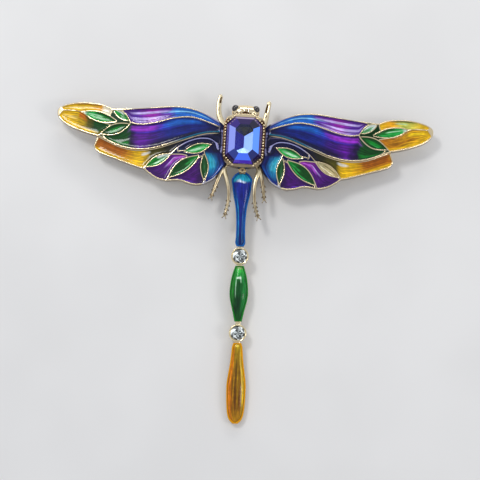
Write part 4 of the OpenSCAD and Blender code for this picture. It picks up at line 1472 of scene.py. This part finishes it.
@dataclass
class Head:
    """The head, its pitted crest and its two eyes."""

    gold: Material
    dark: Material
    shift: float
    width: float = 4.7
    deep: float = 2.5
    place: float = 5.095
    height: float = 5.85
    eye: float = 1.3
    pit_depth: float = 0.16
    steps: tuple[int, int] = (96, 72)
    pits: tuple[tuple[float, float, float], ...] = (
        (-0.16, 0.33, 0.18), (0.0, 0.27, 0.25), (0.16, 0.33, 0.18), (0.36, 0.33, 0.1),
        (-0.36, 0.33, 0.1), (-0.16, -0.1, 0.08), (0.14, -0.1, 0.08), (0.62, 0.3, 0.1),
        (-0.62, 0.3, 0.12),
    )

    def shell(self) -> None:
        """Makes the domed head, with the small pits of its crest and painted shade in them."""
        across, round_ = self.steps
        u = np.sin(np.linspace(-math.pi / 2, math.pi / 2, across + 1))
        radius = self.deep / 2 * np.sqrt(np.maximum(1 - np.abs(u) ** 3, 0.0))
        rows, shades = [], []
        for share, r in zip(u, radius):
            turn = np.arange(round_) * 2 * math.pi / round_
            back = -np.cos(turn)
            sink = np.zeros(round_)
            for side, where, size in self.pits:
                off = np.hypot((share - side) * self.width / 2, (back - where) * self.deep / 2)
                sink += np.where(np.sin(turn) > 0, np.exp(-((off / size) ** 2)), 0)
            reach = r - self.pit_depth * sink * (r > 0.5)
            rows.append(np.column_stack([
                np.full(round_, share * self.width / 2),
                self.shift + self.place + reach * np.cos(turn), self.height + reach * np.sin(turn),
            ]))
            # Painted shade in the pits
            shades.append(np.clip(2.5 * sink, 0, 1.3))
        faces = [face[1:] + face[:1] for face in quads(across + 1, round_, True)]
        draft = Draft()
        draft.add(np.concatenate(rows), faces, recess=np.concatenate(shades))
        finish_piece(draft.made("head", self.gold, ROUND_CREASE), Slot.GOLD_CAST, "casting")

    def eyes(self) -> None:
        """Makes the two dark eyes."""
        half = self.eye / 2
        for side in Side:
            centre = (side.value * self.width * 0.37, self.shift + self.place + self.deep * 0.2,
                      self.height + self.deep * 0.2)
            turn = np.linspace(-math.pi / 2, math.pi / 2, 25)
            profile = [(max(math.cos(a), 0) * half, math.sin(a) * half) for a in turn]
            name = "eye_" + side.word
            piece = lathe(profile, TURNED, centre).made(name + "_bead", self.dark, ROUND_CREASE)
            finish_piece(piece, Slot.BLACK_BEAD, name)


# Legs in plan, from the body to the foot, as (out, fore): shares of the reach
FRONT_LEGS = {
    "front_left": ((-0.3, 0.12), (-0.45, 0.38), (-0.535, 0.56), (-0.556, 0.75), (-0.545, 0.88),
                   (-0.527, 0.97)),
    "front_right": ((0.3, 0.12), (0.38, 0.4), (0.42, 0.58), (0.445, 0.74), (0.47, 0.88)),
}
REAR_LEGS = {
    "mid_left": ((-0.15, -0.2), (-0.27, -0.37), (-0.322, -0.51), (-0.358, -0.63), (-0.395, -0.74)),
    "mid_right": ((0.15, -0.2), (0.235, -0.36), (0.268, -0.48), (0.292, -0.61), (0.31, -0.74)),
    "hind_left": ((-0.15, -0.2), (-0.242, -0.33), (-0.205, -0.48), (-0.166, -0.625),
                  (-0.162, -0.76), (-0.178, -0.88), (-0.2, -0.98)),
    "hind_right": ((0.15, -0.2), (0.215, -0.34), (0.184, -0.49), (0.172, -0.635), (0.182, -0.77),
                   (0.206, -0.88), (0.243, -0.98)),
}


@dataclass
class Legs:
    """The six cast legs: two front ones with folded claws, four barbed ones with forked feet."""

    gold: Material
    shift: float
    front_reach: float = 8.45
    rear_reach: float = 12.9
    front_width: float = 1.1
    rear_width: float = 0.85
    thick: float = 0.9
    under: float = 3.55
    barb: float = 0.36
    slot_depth: float = 0.36
    knee: float = 0.55
    claw_slot: tuple[float, float] = (0.1, 0.26)

    def sides(self, path: Array) -> tuple[Array, Array]:
        """The unit directions at each point of a path: along it, and to its left."""
        last = len(path) - 1
        ahead = np.array([path[min(i + 1, last)] - path[max(i - 1, 0)] for i in range(last + 1)])
        ahead /= np.linalg.norm(ahead, axis=1, keepdims=True)
        return ahead, np.column_stack([-ahead[:, 1], ahead[:, 0]])

    def outline(self, path: Array, width: float, tip: float, first_barb: int,
                toe: float) -> Loop:
        """Outline of one leg.

        Args:
            path: Its middle line.
            width: Width at the body.
            tip: Width at the foot.
            first_barb: Row from which barbs point to the foot.
            toe: Length of the forked toes, or 0 for a blunt foot.

        Returns:
            A closed loop.
        """
        last = len(path) - 1
        ahead, left = self.sides(path)
        edges: tuple[list[Array], list[Array]] = ([], [])
        for i in range(last + 1):
            half = (width + (tip - width) * i / last) / 2
            for side, edge in zip((1, -1), edges):
                across, along = side * left[i], ahead[i]
                at = path[i] + across * half
                edge.append(at)
                if i == last and toe:
                    edge.append(at + along * toe + across * toe * 0.4)
                elif first_barb <= i < last:
                    edge.append(at + along * self.barb + across * self.barb * 0.5)
                    edge.append(at + (along - across * 0.2) * self.barb * 0.4)
        end = path[last] + ahead[last] * (toe * 0.2 if toe else tip * 0.45)
        return joined(np.array([*edges[0], end, *edges[1][::-1]]))

    def claw(self, path: Array, side: int) -> Loop:
        """Outline of the slot between a front leg and the claw folded along its inner side."""
        folded = slice(math.ceil(len(path) * self.knee), len(path) - 1)
        middle, out = path[folded], self.sides(path)[1][folded] * side * self.front_width
        near, far = (middle + out * share for share in self.claw_slot)
        return smooth_loop(joined(near, far[::-1]), 0.12)

    def bar(self, outline: Loop, path: Array, slot: tuple[Loop, ...], groove_shade: float) -> Draft:
        """Draws one leg as a rounded bar.

        Args:
            outline: Its outline.
            path: Its middle line, where the painted shade is darkest.
            slot: Outline of the claw's slot, if it has one.
            groove_shade: Half width of the painted shade along the middle.

        Returns:
            The draft of the leg.
        """
        top = self.under + self.thick
        line = [np.concatenate([path[1:], path[1:][::-1]])]
        # The recess here is painted shade down the middle line, for the shadow of a channel that
        # the bar does not have
        return CastPlate(
            smooth_loop(outline, 0.1), level(top), self.thick, slot, self.slot_depth, edge=0.24,
            drop=0.24, grid=0.13, floors=True,
            dress=lambda p: {"recess": 0.95 * fading(distance_to(p, line), groove_shade * 0.5, groove_shade)},
        ).draft()

    def made(self) -> None:
        """Makes the six legs."""
        drafts = {}
        for name, table in FRONT_LEGS.items():
            path = spline(table, 2) * self.front_reach + (0, self.shift)
            outline = self.outline(path, self.front_width, self.front_width * 0.66, len(path), 0.0)
            side = 1 if table[0][0] > 0 else -1
            drafts[name] = self.bar(outline, path, (self.claw(path, side),), 0.01)
        for name, table in REAR_LEGS.items():
            path = spline(table, 2) * self.rear_reach + (0, self.shift)
            outline = self.outline(path, self.rear_width, self.rear_width * 0.5,
                                   math.ceil(len(path) * self.knee), self.barb * 1.4)
            drafts[name] = self.bar(outline, path, (), 0.12)
        for name, draft in drafts.items():
            finish_piece(draft.made("leg_" + name, self.gold), Slot.GOLD_CAST, "casting")


# Stones


@dataclass(frozen=True)
class Facet:
    """What one facet shows: its painted colour, how clear it is, and its painted glow for a foil
    back.
    """

    colour: Colour
    clear: float = 0.0
    glow: float = 0.35


def cut_stone(name: str, corners: Array, material: Material,
              paint: Callable[[Vector, Vector], Facet]) -> Piece:
    """Makes the convex stone of some corners.

    Args:
        name: The piece's name.
        corners: The stone's corners, in millimetres.
        material: Its finish.
        paint: Chooses what a facet shows from its normal and its middle, in millimetres.

    Returns:
        The stone, flat-shaded.
    """
    shape = bmesh.new()
    for corner in corners:
        shape.verts.new(Vector(corner) * MM)
    bmesh.ops.convex_hull(shape, input=shape.verts)
    bmesh.ops.dissolve_limit(shape, angle_limit=math.radians(2), verts=shape.verts,
                             edges=shape.edges)
    bmesh.ops.recalc_face_normals(shape, faces=shape.faces)
    mesh = bpy.data.meshes.new(name)
    shape.to_mesh(mesh)
    shape.free()
    facets = [paint(polygon.normal, polygon.center / MM) for polygon in mesh.polygons]
    tones = np.array([(*facet.colour, 1.0) for facet in facets], np.float32)
    mesh.attributes.new("facet", "FLOAT_COLOR", "FACE").data.foreach_set("color", tones.ravel())
    for key in ("clear", "glow"):
        values = np.array([getattr(facet, key) for facet in facets], np.float32)
        mesh.attributes.new(key, "FLOAT", "FACE").data.foreach_set("value", values)
    mesh.materials.append(material)
    return shown(name, mesh)


# Painted reflections and foil glow of the big stone's facets, anticlockwise from the right-hand
# side
INNER_CROWN = (
    (0.1, 0.27, 0.95), (0.012, 0.012, 0.03), (0.02, 0.01, 0.07), (0.03, 0.015, 0.16),
    (0.22, 0.27, 0.72), (0.015, 0.03, 0.2), (0.05, 0.14, 0.8), (0.008, 0.015, 0.12),
)
OUTER_CROWN = (
    (0.06, 0.04, 0.17), (0.05, 0.035, 0.16), (0.3, 0.25, 0.48), (0.04, 0.02, 0.18),
    (0.07, 0.06, 0.28), (0.012, 0.005, 0.05), (0.06, 0.02, 0.4), (0.008, 0.004, 0.04),
)
PAVILION = (
    (0.32, 0.5, 1.0), (0.002, 0.003, 0.006), (0.002, 0.003, 0.006), (0.004, 0.004, 0.02),
    (0.012, 0.01, 0.16), (0.5, 0.78, 1.0), (0.6, 0.88, 1.0), (0.45, 0.65, 1.0),
)


@dataclass
class StepCutStone:
    """The big step-cut stone, its pavilion painted with the colours and glow of a foil back."""

    crystal: Material
    shift: float
    width: float = 6.0
    length: float = 8.0
    corner: float = 1.35
    crown: float = 1.5
    girdle: float = 7.0
    girdle_t: float = 0.25
    pavilion: float = 1.9
    steps: tuple[tuple[float, float], ...] = ((0.42, 0.55), (1.5, 1.0))

    def ring(self, inset: float, height: float) -> Array:
        """Eight corners of the stone at one height, moved in from the girdle."""
        loop = cut_corner_loop(self.width - 2 * inset, self.length - 2 * inset,
                               self.corner * (1 - inset * 0.3), self.shift)
        return raised(loop, np.full(8, self.girdle + height))

    def paint(self, normal: Vector, middle: Vector) -> Facet:
        """The painted colour and glow of a facet, by the way that it faces and how high it lies."""
        if normal.z > TABLE:
            return Facet((0.93, 0.96, 1.0), 1.0, 0.0)
        eighth = round(math.degrees(math.atan2(normal.y, normal.x)) / 45) % 8
        if normal.z < -0.05:
            return Facet(PAVILION[eighth], 0.0, 0.9)
        inner = middle.z > self.girdle + self.crown * self.steps[0][1]
        return Facet(INNER_CROWN[eighth] if inner else OUTER_CROWN[eighth])

    def made(self) -> None:
        """Makes the stone with its crown, girdle and pavilion."""
        keel = self.length - self.width
        low = self.girdle - self.girdle_t
        pavilion = cut_corner_loop(self.width / 2, self.length / 2 + keel / 2, self.corner / 2,
                                   self.shift)
        pavilion = raised(pavilion, np.full(8, low - self.pavilion * 0.62))
        ends = np.array([(0, self.shift + y, low - self.pavilion) for y in (keel / 2, -keel / 2)])
        corners = np.concatenate([
            *(self.ring(inset, rise * self.crown) for inset, rise in self.steps),
            self.ring(0, 0), self.ring(0, -self.girdle_t), pavilion, ends,
        ])
        stone = cut_stone("sapphire_stone", corners, self.crystal, self.paint)
        finish_piece(stone, Slot.BLUE_STONE, "sapphire")


# Tail

# Half widths of the drops from the top, as (along, half width): shares of the length and of the
# greatest half width
BLUE_ROWS = (
    (0, 0.4), (0.03, 0.72), (0.09, 1), (0.17, 0.97), (0.3, 0.84), (0.48, 0.57), (0.68, 0.46),
    (0.86, 0.46), (0.95, 0.5), (1, 0.34),
)
GREEN_ROWS = (
    (0, 0.46), (0.07, 0.6), (0.22, 0.84), (0.44, 1), (0.6, 0.94), (0.8, 0.66), (0.92, 0.5),
    (1, 0.4),
)
AMBER_ROWS = (
    (0, 0.4), (0.05, 0.54), (0.13, 0.6), (0.27, 0.72), (0.48, 0.97), (0.6, 1), (0.75, 0.96),
    (0.87, 0.86), (0.95, 0.66), (1, 0.26),
)


@dataclass(frozen=True)
class Drop:
    """One enamel drop of the tail."""

    name: str
    rows: tuple[tuple[float, float], ...]
    start: float
    length: float
    width: float
    slot: Slot
    finish: Enamel


# In the drops, the pale tops, the lighter sides, the thin pale lines and the crosswise arcs are
# painted highlights, and the dark lines down the amber drop a painted dark reflection
DROPS = (
    Drop("tail_blue", BLUE_ROWS, 0.48, 12.75, 3.45, Slot.TAIL_BLUE, Enamel(
        "drop_blue",
        ((0.0, (0.01, 0.3, 0.5)), (0.1, (0.02, 0.42, 0.62)), (0.15, (0.012, 0.02, 0.3)),
         (0.5, (0.008, 0.02, 0.24)), (1.0, (0.004, 0.012, 0.13))),
        (Streak(0.0, 0.3, 0.16, 1.1, (0.01, 0.15, 0.48), 0.85),
         Streak(1.0, 0.2, 0.16, 1.1, (0.01, 0.12, 0.42), 0.8),
         Streak(0.14, 0.06, 0.3, 1.05, (0.02, 0.4, 0.7), 0.8),
         Streak(0.72, 0.05, 0.45, 1.05, (0.06, 0.4, 0.72), 0.7),
         Streak(0.13, 0.028, 0.12, 0.8, (0.7, 0.8, 1.0), 0.95, True)),
    )),
    Drop("tail_green", GREEN_ROWS, 16.55, 9.5, 3.15, Slot.TAIL_GREEN, Enamel(
        "drop_green",
        ((0.0, (0.4, 0.5, 0.2)), (0.07, (0.04, 0.5, 0.06)), (0.2, (0.02, 0.36, 0.05)),
         (0.32, (0.002, 0.1, 0.014)), (0.7, (0.001, 0.035, 0.008)), (1.0, (0.004, 0.1, 0.012))),
        (Streak(0.0, 0.3, 0.05, 0.75, (0.015, 0.26, 0.02), 0.85),
         Streak(0.9, 0.36, 0.05, 0.95, (0.01, 0.22, 0.035), 0.9),
         Streak(0.28, 0.045, 0.2, 0.62, MINT, 0.75), Streak(0.64, 0.045, 0.18, 0.34, MINT, 0.75),
         Streak(0.24, 0.03, 0.2, 0.74, (0.75, 0.95, 0.75), 0.9, True)),
    )),
    Drop("tail_amber", AMBER_ROWS, 29.67, 13.7, 3.3, Slot.TAIL_AMBER, Enamel(
        "drop_amber",
        ((0.0, (0.6, 0.4, 0.006)), (0.12, (0.34, 0.2, 0.003)), (0.4, (0.28, 0.13, 0.002)),
         (0.75, (0.2, 0.07, 0.001)), (1.0, (0.6, 0.28, 0.004))),
        (Streak(0.0, 0.3, -0.2, 1.2, (0.85, 0.24, 0.002), 0.95),
         Streak(0.46, 0.06, 0.12, 0.9, (0.09, 0.035, 0.001), 0.75),
         Streak(0.6, 0.05, 0.2, 0.95, (0.5, 0.28, 0.006), 0.7),
         Streak(0.33, 0.04, 0.3, 1.0, (0.5, 0.24, 0.004), 0.6),
         Streak(1.0, 0.22, -0.2, 1.0, (0.8, 0.5, 0.006), 0.9),
         Streak(0.86, 0.06, 0.02, 0.85, (0.9, 0.62, 0.1), 0.75),
         Streak(0.03, 0.03, 0.05, 0.95, (1.0, 0.72, 0.08), 0.9, True)),
    )),
)
# Enamel that runs over the rims of the trays, as (shade, colour)
TRAY_WASHES = ((0.0, (0.01, 0.12, 0.42)), (0.5, (0.015, 0.22, 0.025)), (1.0, (0.8, 0.36, 0.006)))


@dataclass
class Tail:
    """The tail: cast trays and cups on one spine, three enamel drops and two round stones."""

    gold: Material
    shift: float
    top_y: float = -4.53
    top_z: float = 4.15
    slope: float = 4.03627
    swing: float = 1.6
    rim: float = 0.26
    gap: float = 0.05
    pitch: float = 0.14
    least: float = 0.12
    floor: float = -1.1
    face: float = 0.1
    dome: float = 0.95
    recess: float = 0.08
    cup_top: float = 0.45
    girdle_rise: float = 0.06
    stone: float = 2.4
    cups: tuple[float, float] = (14.89, 28.01)
    spine_half: float = 0.45
    spine_deep: float = 0.55
    spine_rise: float = 0.65
    # How far the spine reaches into the outer trays and into the middle one
    spine_bites: tuple[float, float] = (0.3, 0.9)
    # Half width, start and end of the neck below the eye
    neck: tuple[float, float, float] = (0.512, 0.45, 0.78)

    def matrix(self) -> Matrix:
        """From the tail's own frame to the brooch's."""
        place = Matrix.Translation((0, self.shift + self.top_y, self.top_z))
        lean = Matrix.Rotation(math.radians(self.slope), 4, "X")
        return place @ lean @ Matrix.Rotation(math.radians(self.swing), 4, "Z")

    def half_widths(self, drop: Drop, less: float) -> Array:
        """Rows of place and half width down a drop, moved in by some margin."""
        rows = spline(drop.rows)
        along = drop.start + less + rows[:, 0] * (drop.length - 2 * less)
        half = np.maximum(rows[:, 1] * drop.width / 2, self.least + self.rim) - less
        return np.column_stack([along, half])

    def loop(self, drop: Drop, less: float) -> Loop:
        """Outline of a drop in plan."""
        rows = self.half_widths(drop, less)
        right = np.column_stack([rows[:, 1], -rows[:, 0]])
        return smooth_loop(joined(right, right[::-1] * (-1, 1)), self.pitch)

    def tint(self, points: Array, shade: float) -> dict[str, Array]:
        """Enamel over the whole of a tray, in one of its shades."""
        return {"wash": np.ones(len(points)), "shade": np.full(len(points), shade)}

    def metal(self) -> None:
        """Makes the trays, the cups, the spine and the eye at the top."""
        draft = Draft()
        deep = self.face - self.floor
        for drop, (shade, _) in zip(DROPS, TRAY_WASHES):
            plate = CastPlate(
                self.loop(drop, 0.0), level(self.face), deep, (self.loop(drop, self.rim),),
                deep - self.rim, edge=0.12, drop=0.1, grid=0.6, wall_shade=0.3,
                dress=partial(self.tint, shade=shade),
            )
            draft.join(plate.draft())
        outer, inner = self.stone / 2 + self.gap + self.rim, self.stone / 2 + self.gap * 0.4
        low, lip, seat = self.floor, self.cup_top, self.cup_top - self.stone * 0.42
        profile = [
            (0.01, low), (outer - 0.2, low), (outer - 0.05, low + 0.06), (outer, low + 0.2),
            (outer, lip - 0.14), (outer - 0.04, lip - 0.05), (outer - 0.11, lip),
            (inner + 0.1, lip), (inner + 0.03, lip - 0.04), (inner, lip - 0.12), (inner, seat),
            (0.01, seat),
        ]
        for y in self.cups:
            draft.join(lathe(profile, 64, (0, -y, 0)))
        blue, green, amber = DROPS
        outer_bite, inner_bite = self.spine_bites
        runs = (
            (blue.start + blue.length - outer_bite, green.start + inner_bite),
            (green.start + green.length - inner_bite, amber.start + outer_bite),
        )
        for start, end in runs:
            loop = smooth_loop(strip(self.spine_half, start, end), 0.3)
            spine = level(self.floor + self.spine_rise)
            draft.join(CastPlate(loop, spine, self.spine_deep, edge=0.15, drop=0.12).draft())
        draft.join(ring_eye((0, 0, 0)))
        # The neck below the eye takes painted shade all over
        draft.join(CastPlate(
            smooth_loop(strip(*self.neck), 0.2), level(EYE_HALF), 2 * EYE_HALF, edge=0.1, drop=0.08,
            dress=lambda p: {"recess": np.full(len(p), 0.8)},
        ).draft())
        piece = draft.turned(self.matrix()).made("tail_metal", self.gold)
        finish_piece(piece, Slot.GOLD_WIRE, "tail")

    def enamel(self, drop: Drop) -> None:
        """Makes the domed enamel of one drop."""
        rows = self.half_widths(drop, self.rim)
        steps = 28
        turn = np.linspace(math.pi, 0, steps + 1)
        draft = Draft()
        points, along, across = [], [], []
        for y, half in rows:
            x = half * np.cos(turn)
            rise = self.dome * half / (drop.width / 2) * np.sin(turn) ** 0.8
            z = self.face - self.recess + rise
            points.append(np.column_stack([x, np.full(steps + 1, -y), z]))
            along.append(np.full(steps + 1, (y - drop.start) / drop.length))
            across.append((np.cos(turn) + 1) / 2)
        n = steps + 1
        faces = [face[:1] + face[:0:-1] for face in quads(len(rows), n)]
        draft.add(np.concatenate(points), faces, along=np.concatenate(along),
                  across=np.concatenate(across))
        base = self.floor + self.rim + self.gap
        top = np.concatenate([
            [points[0][k] for k in range(n)], [p[n - 1] for p in points[1:-1]],
            [points[-1][k] for k in range(n - 1, -1, -1)], [p[0] for p in points[-2:0:-1]],
        ])
        flat = np.column_stack([top[:, :2], np.full(len(top), base)])
        middle = np.full(2 * len(top), 0.5)
        draft.skirt(top, flat, False, {"along": middle, "across": middle})
        draft.add(flat, [tuple(range(len(top)))])
        placed = draft.turned(self.matrix())
        piece = placed.made(drop.name + "_enamel", drop.finish.material(), POURED_CREASE)
        finish_piece(piece, drop.slot, drop.name)


@dataclass
class RoundStone:
    """A round brilliant stone in one of the tail's cups."""

    name: str
    crystal: Material
    matrix: Matrix
    along: float
    height: float
    radius: float = 1.2
    # Rings from the table down, as (count, radius, height, turn): shares of the radius
    rings: tuple[tuple[int, float, float, float], ...] = (
        (8, 0.56, 0.42, 22.5), (8, 0.82, 0.25, 0.0), (16, 1.0, 0.0, 0.0), (16, 1.0, -0.07, 0.0),
    )
    culet: float = -0.78
    # Painted tones of the facets, light and dark by turns, in place of reflections
    tones: tuple[float, ...] = (0.95, 0.04, 0.3, 0.02, 0.7, 0.1, 0.9, 0.03, 0.45, 0.02, 0.12, 0.8)

    def paint(self, normal: Vector, middle: Vector) -> Facet:
        """Painted light and dark facets by turns, with a painted glow, and a clear table."""
        if normal.dot(self.matrix.to_3x3() @ Vector((0, 0, 1))) > TABLE:
            return Facet((0.95, 0.97, 1.0), 1.0, 0.0)
        turn = math.degrees(math.atan2(normal.y, normal.x)) % 360
        tone = self.tones[int(turn / 22.5 + 7 * abs(normal.z)) % len(self.tones)]
        return Facet((tone * 0.88, tone * 0.95, tone * 0.95), 0.0, 0.5)

    def made(self) -> None:
        """Makes the stone, flat-shaded."""
        corners = []
        for count, share, rise, turn in self.rings:
            for k in range(count):
                a = math.radians(turn + 360 * k / count)
                x, y = self.radius * share * math.cos(a), self.radius * share * math.sin(a)
                corners.append((x, -self.along + y, self.height + self.radius * rise))
        corners.append((0, -self.along, self.height + self.radius * self.culet))
        placed = np.array([tuple(self.matrix @ Vector(corner)) for corner in corners])
        stone = cut_stone(self.name + "_stone", placed, self.crystal, self.paint)
        finish_piece(stone, Slot.CLEAR_STONE, self.name)


@dataclass
class Fittings:
    """The jump ring, the lug behind the setting and the pin back."""

    gold: Material
    shift: float
    ring: float = 1.4
    wire: float = 0.38
    ring_y: float = -3.83
    ring_z: float = 4.15

    def jump_ring(self) -> None:
        """Makes the ring that joins the tail to the body."""
        turn = np.arange(17) * 2 * math.pi / 16
        radius, half = self.ring / 2, self.wire / 2
        profile = [(radius + half * math.cos(a), half * math.sin(a)) for a in turn]
        place = Matrix.Translation((0, self.shift + self.ring_y, self.ring_z)) @ Matrix.Rotation(
            math.radians(90), 4, "Y")
        draft = lathe(profile, TURNED, (0, 0, 0)).turned(place)
        piece = draft.made("jump_ring_wire", self.gold, ROUND_CREASE)
        finish_piece(piece, Slot.GOLD_WIRE, "jump_ring")

    def lug(self) -> None:
        """Makes the lug on the back of the block."""
        y = self.shift + self.ring_y + self.ring / 2
        draft = ring_eye((0, y, self.ring_z))
        finish_piece(draft.made("lug", self.gold), Slot.GOLD_CAST, "casting")

    def pin_back(self, finish: Material) -> None:
        """Dresses the pin back, which keeps its CAD solid."""
        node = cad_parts["pin_back"]
        node.data.materials.clear()
        node.data.materials.append(finish)
        LOG.info("pin_back: %d faces, the CAD solid with its finish", len(node.data.polygons))


# What the lights look at, in millimetres
BROOCH_MIDDLE = (0, 0, 3)


@dataclass
class Studio:
    """Pale floor, soft light and the camera, which stays above the floor."""

    aim: tuple[float, float, float] = (0.293, 2.769, 5.0)
    azimuth: float = 3.3
    elevation: float = 81.4
    distance: float = 300.0
    lens: float = 132.35
    floor_rows: int = 24
    floor_reach: float = 600.0
    floor_bend: float = 0.0004
    level_to: float = 350.0

    def floor(self) -> None:
        """Lays a pale floor that rises softly far behind the brooch."""
        count = self.floor_rows
        grid = np.linspace(-self.floor_reach, self.floor_reach, count)
        points = np.array([
            (x, y, self.floor_bend * max(y - self.level_to, 0) ** 2) for y in grid for x in grid
        ])
        g = Graph("pale_floor")
        tone = g.ramp(g.noise(40.0, 2.0), ((0.3, (0.80, 0.79, 0.77)), (0.7, (0.84, 0.83, 0.81))))
        g.shader(base_color=tone, roughness=0.6)
        draft = Draft()
        draft.add(points, quads(count, count))
        draft.made("floor", g.material)

    def lamp(self, name: str, place: Sequence[float], size: Sequence[float], power: float,
             colour: Colour = (1.0, 1.0, 1.0)) -> None:
        """Hangs a soft box that looks at the brooch.

        Args:
            name: The light's name.
            place: Where it hangs, in millimetres.
            size: Its width and height, in millimetres.
            power: Its power, in watts.
            colour: Its colour.
        """
        light = bpy.data.lights.new(name, "AREA")
        light.shape = "RECTANGLE"
        light.size, light.size_y = size[0] * MM, size[1] * MM
        light.energy = power
        light.color = colour
        lamp = shown(name, light)
        lamp.location = Vector(place) * MM
        look = Vector(BROOCH_MIDDLE) * MM - lamp.location
        lamp.rotation_euler = look.to_track_quat("-Z", "Y").to_euler()

    def lights(self) -> None:
        """Hangs the soft boxes and sets the room's own light."""
        self.lamp("key", (-110, 120, 260), (60, 60), 0.22)
        self.lamp("fill", (190, -40, 200), (50, 90), 0.09, (1.0, 0.97, 0.93))
        self.lamp("rear", (20, 240, 120), (160, 40), 0.12)
        world = bpy.data.worlds.new("room")
        world.use_nodes = True
        shade = world.node_tree.nodes["Background"]
        shade.inputs["Color"].default_value = (0.9, 0.93, 1.0, 1.0)
        shade.inputs["Strength"].default_value = 0.62
        bpy.context.scene.world = world

    def camera(self) -> None:
        """Sets the camera at the photograph's angle."""
        a, e = math.radians(self.azimuth), math.radians(self.elevation)
        back = Vector((math.sin(a) * math.cos(e), -math.cos(a) * math.cos(e), math.sin(e)))
        right = Vector((math.cos(a), math.sin(a), 0.0))
        up = back.cross(right)
        data = bpy.data.cameras.new("camera")
        data.lens = self.lens
        data.sensor_width = 36.0
        data.clip_start, data.clip_end = 0.01, 10.0
        camera = shown("camera", data)
        turn = Matrix((right, up, back)).transposed()
        place = (Vector(self.aim) + back * self.distance) * MM
        camera.matrix_world = Matrix.Translation(place) @ turn.to_4x4()
        bpy.context.scene.camera = camera

    def made(self) -> None:
        """Sets the whole studio up."""
        self.floor()
        self.lights()
        self.camera()
        bpy.context.scene.view_settings.view_transform = "Standard"


def main() -> None:
    """Builds every piece of the brooch on the frame, and the studio round it."""
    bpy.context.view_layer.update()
    low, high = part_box("sapphire")
    shift = (low.y + high.y) / 2 / MM
    cast = Gold("gold_cast_finish").material()
    wire = Gold("gold_wire_finish", bright=(0.95, 0.74, 0.4), roughness=0.12).material()
    looks = [*CELLS.values(), *RIGHT_CELLS.values()]
    enamels = {look.finish.name: look.finish.material() for look in looks}
    for side in Side:
        wing = Wing(side, cast, shift)
        wing.metal()
        wing.enamel(enamels)
    setting = Setting(cast, shift)
    setting.body()
    setting.beads()
    head = Head(cast, Glossy("eye_dark", (0.012, 0.008, 0.007)).material(), shift)
    head.shell()
    head.eyes()
    Legs(Gold("leg_finish", bright=(1.0, 0.86, 0.56), roughness=0.28).material(), shift).made()
    StepCutStone(Crystal("sapphire_glass").material(), shift).made()
    tail = Tail(Gold("tail_finish", bright=(0.95, 0.8, 0.5), washes=TRAY_WASHES).material(), shift)
    tail.metal()
    for drop in DROPS:
        tail.enamel(drop)
    clear = Crystal("clear_glass", 1.4).material()
    for name, place in zip(("round_stone_upper", "round_stone_lower"), tail.cups):
        RoundStone(name, clear, tail.matrix(), place, tail.cup_top + tail.girdle_rise).made()
    fittings = Fittings(wire, shift)
    fittings.jump_ring()
    fittings.lug()
    fittings.pin_back(Gold("pin_finish", bright=(0.85, 0.66, 0.36), roughness=0.3).material())
    Studio().made()


if __name__ == "__main__":
    logging.basicConfig(level=logging.INFO, format="%(name)s: %(message)s")
    main()
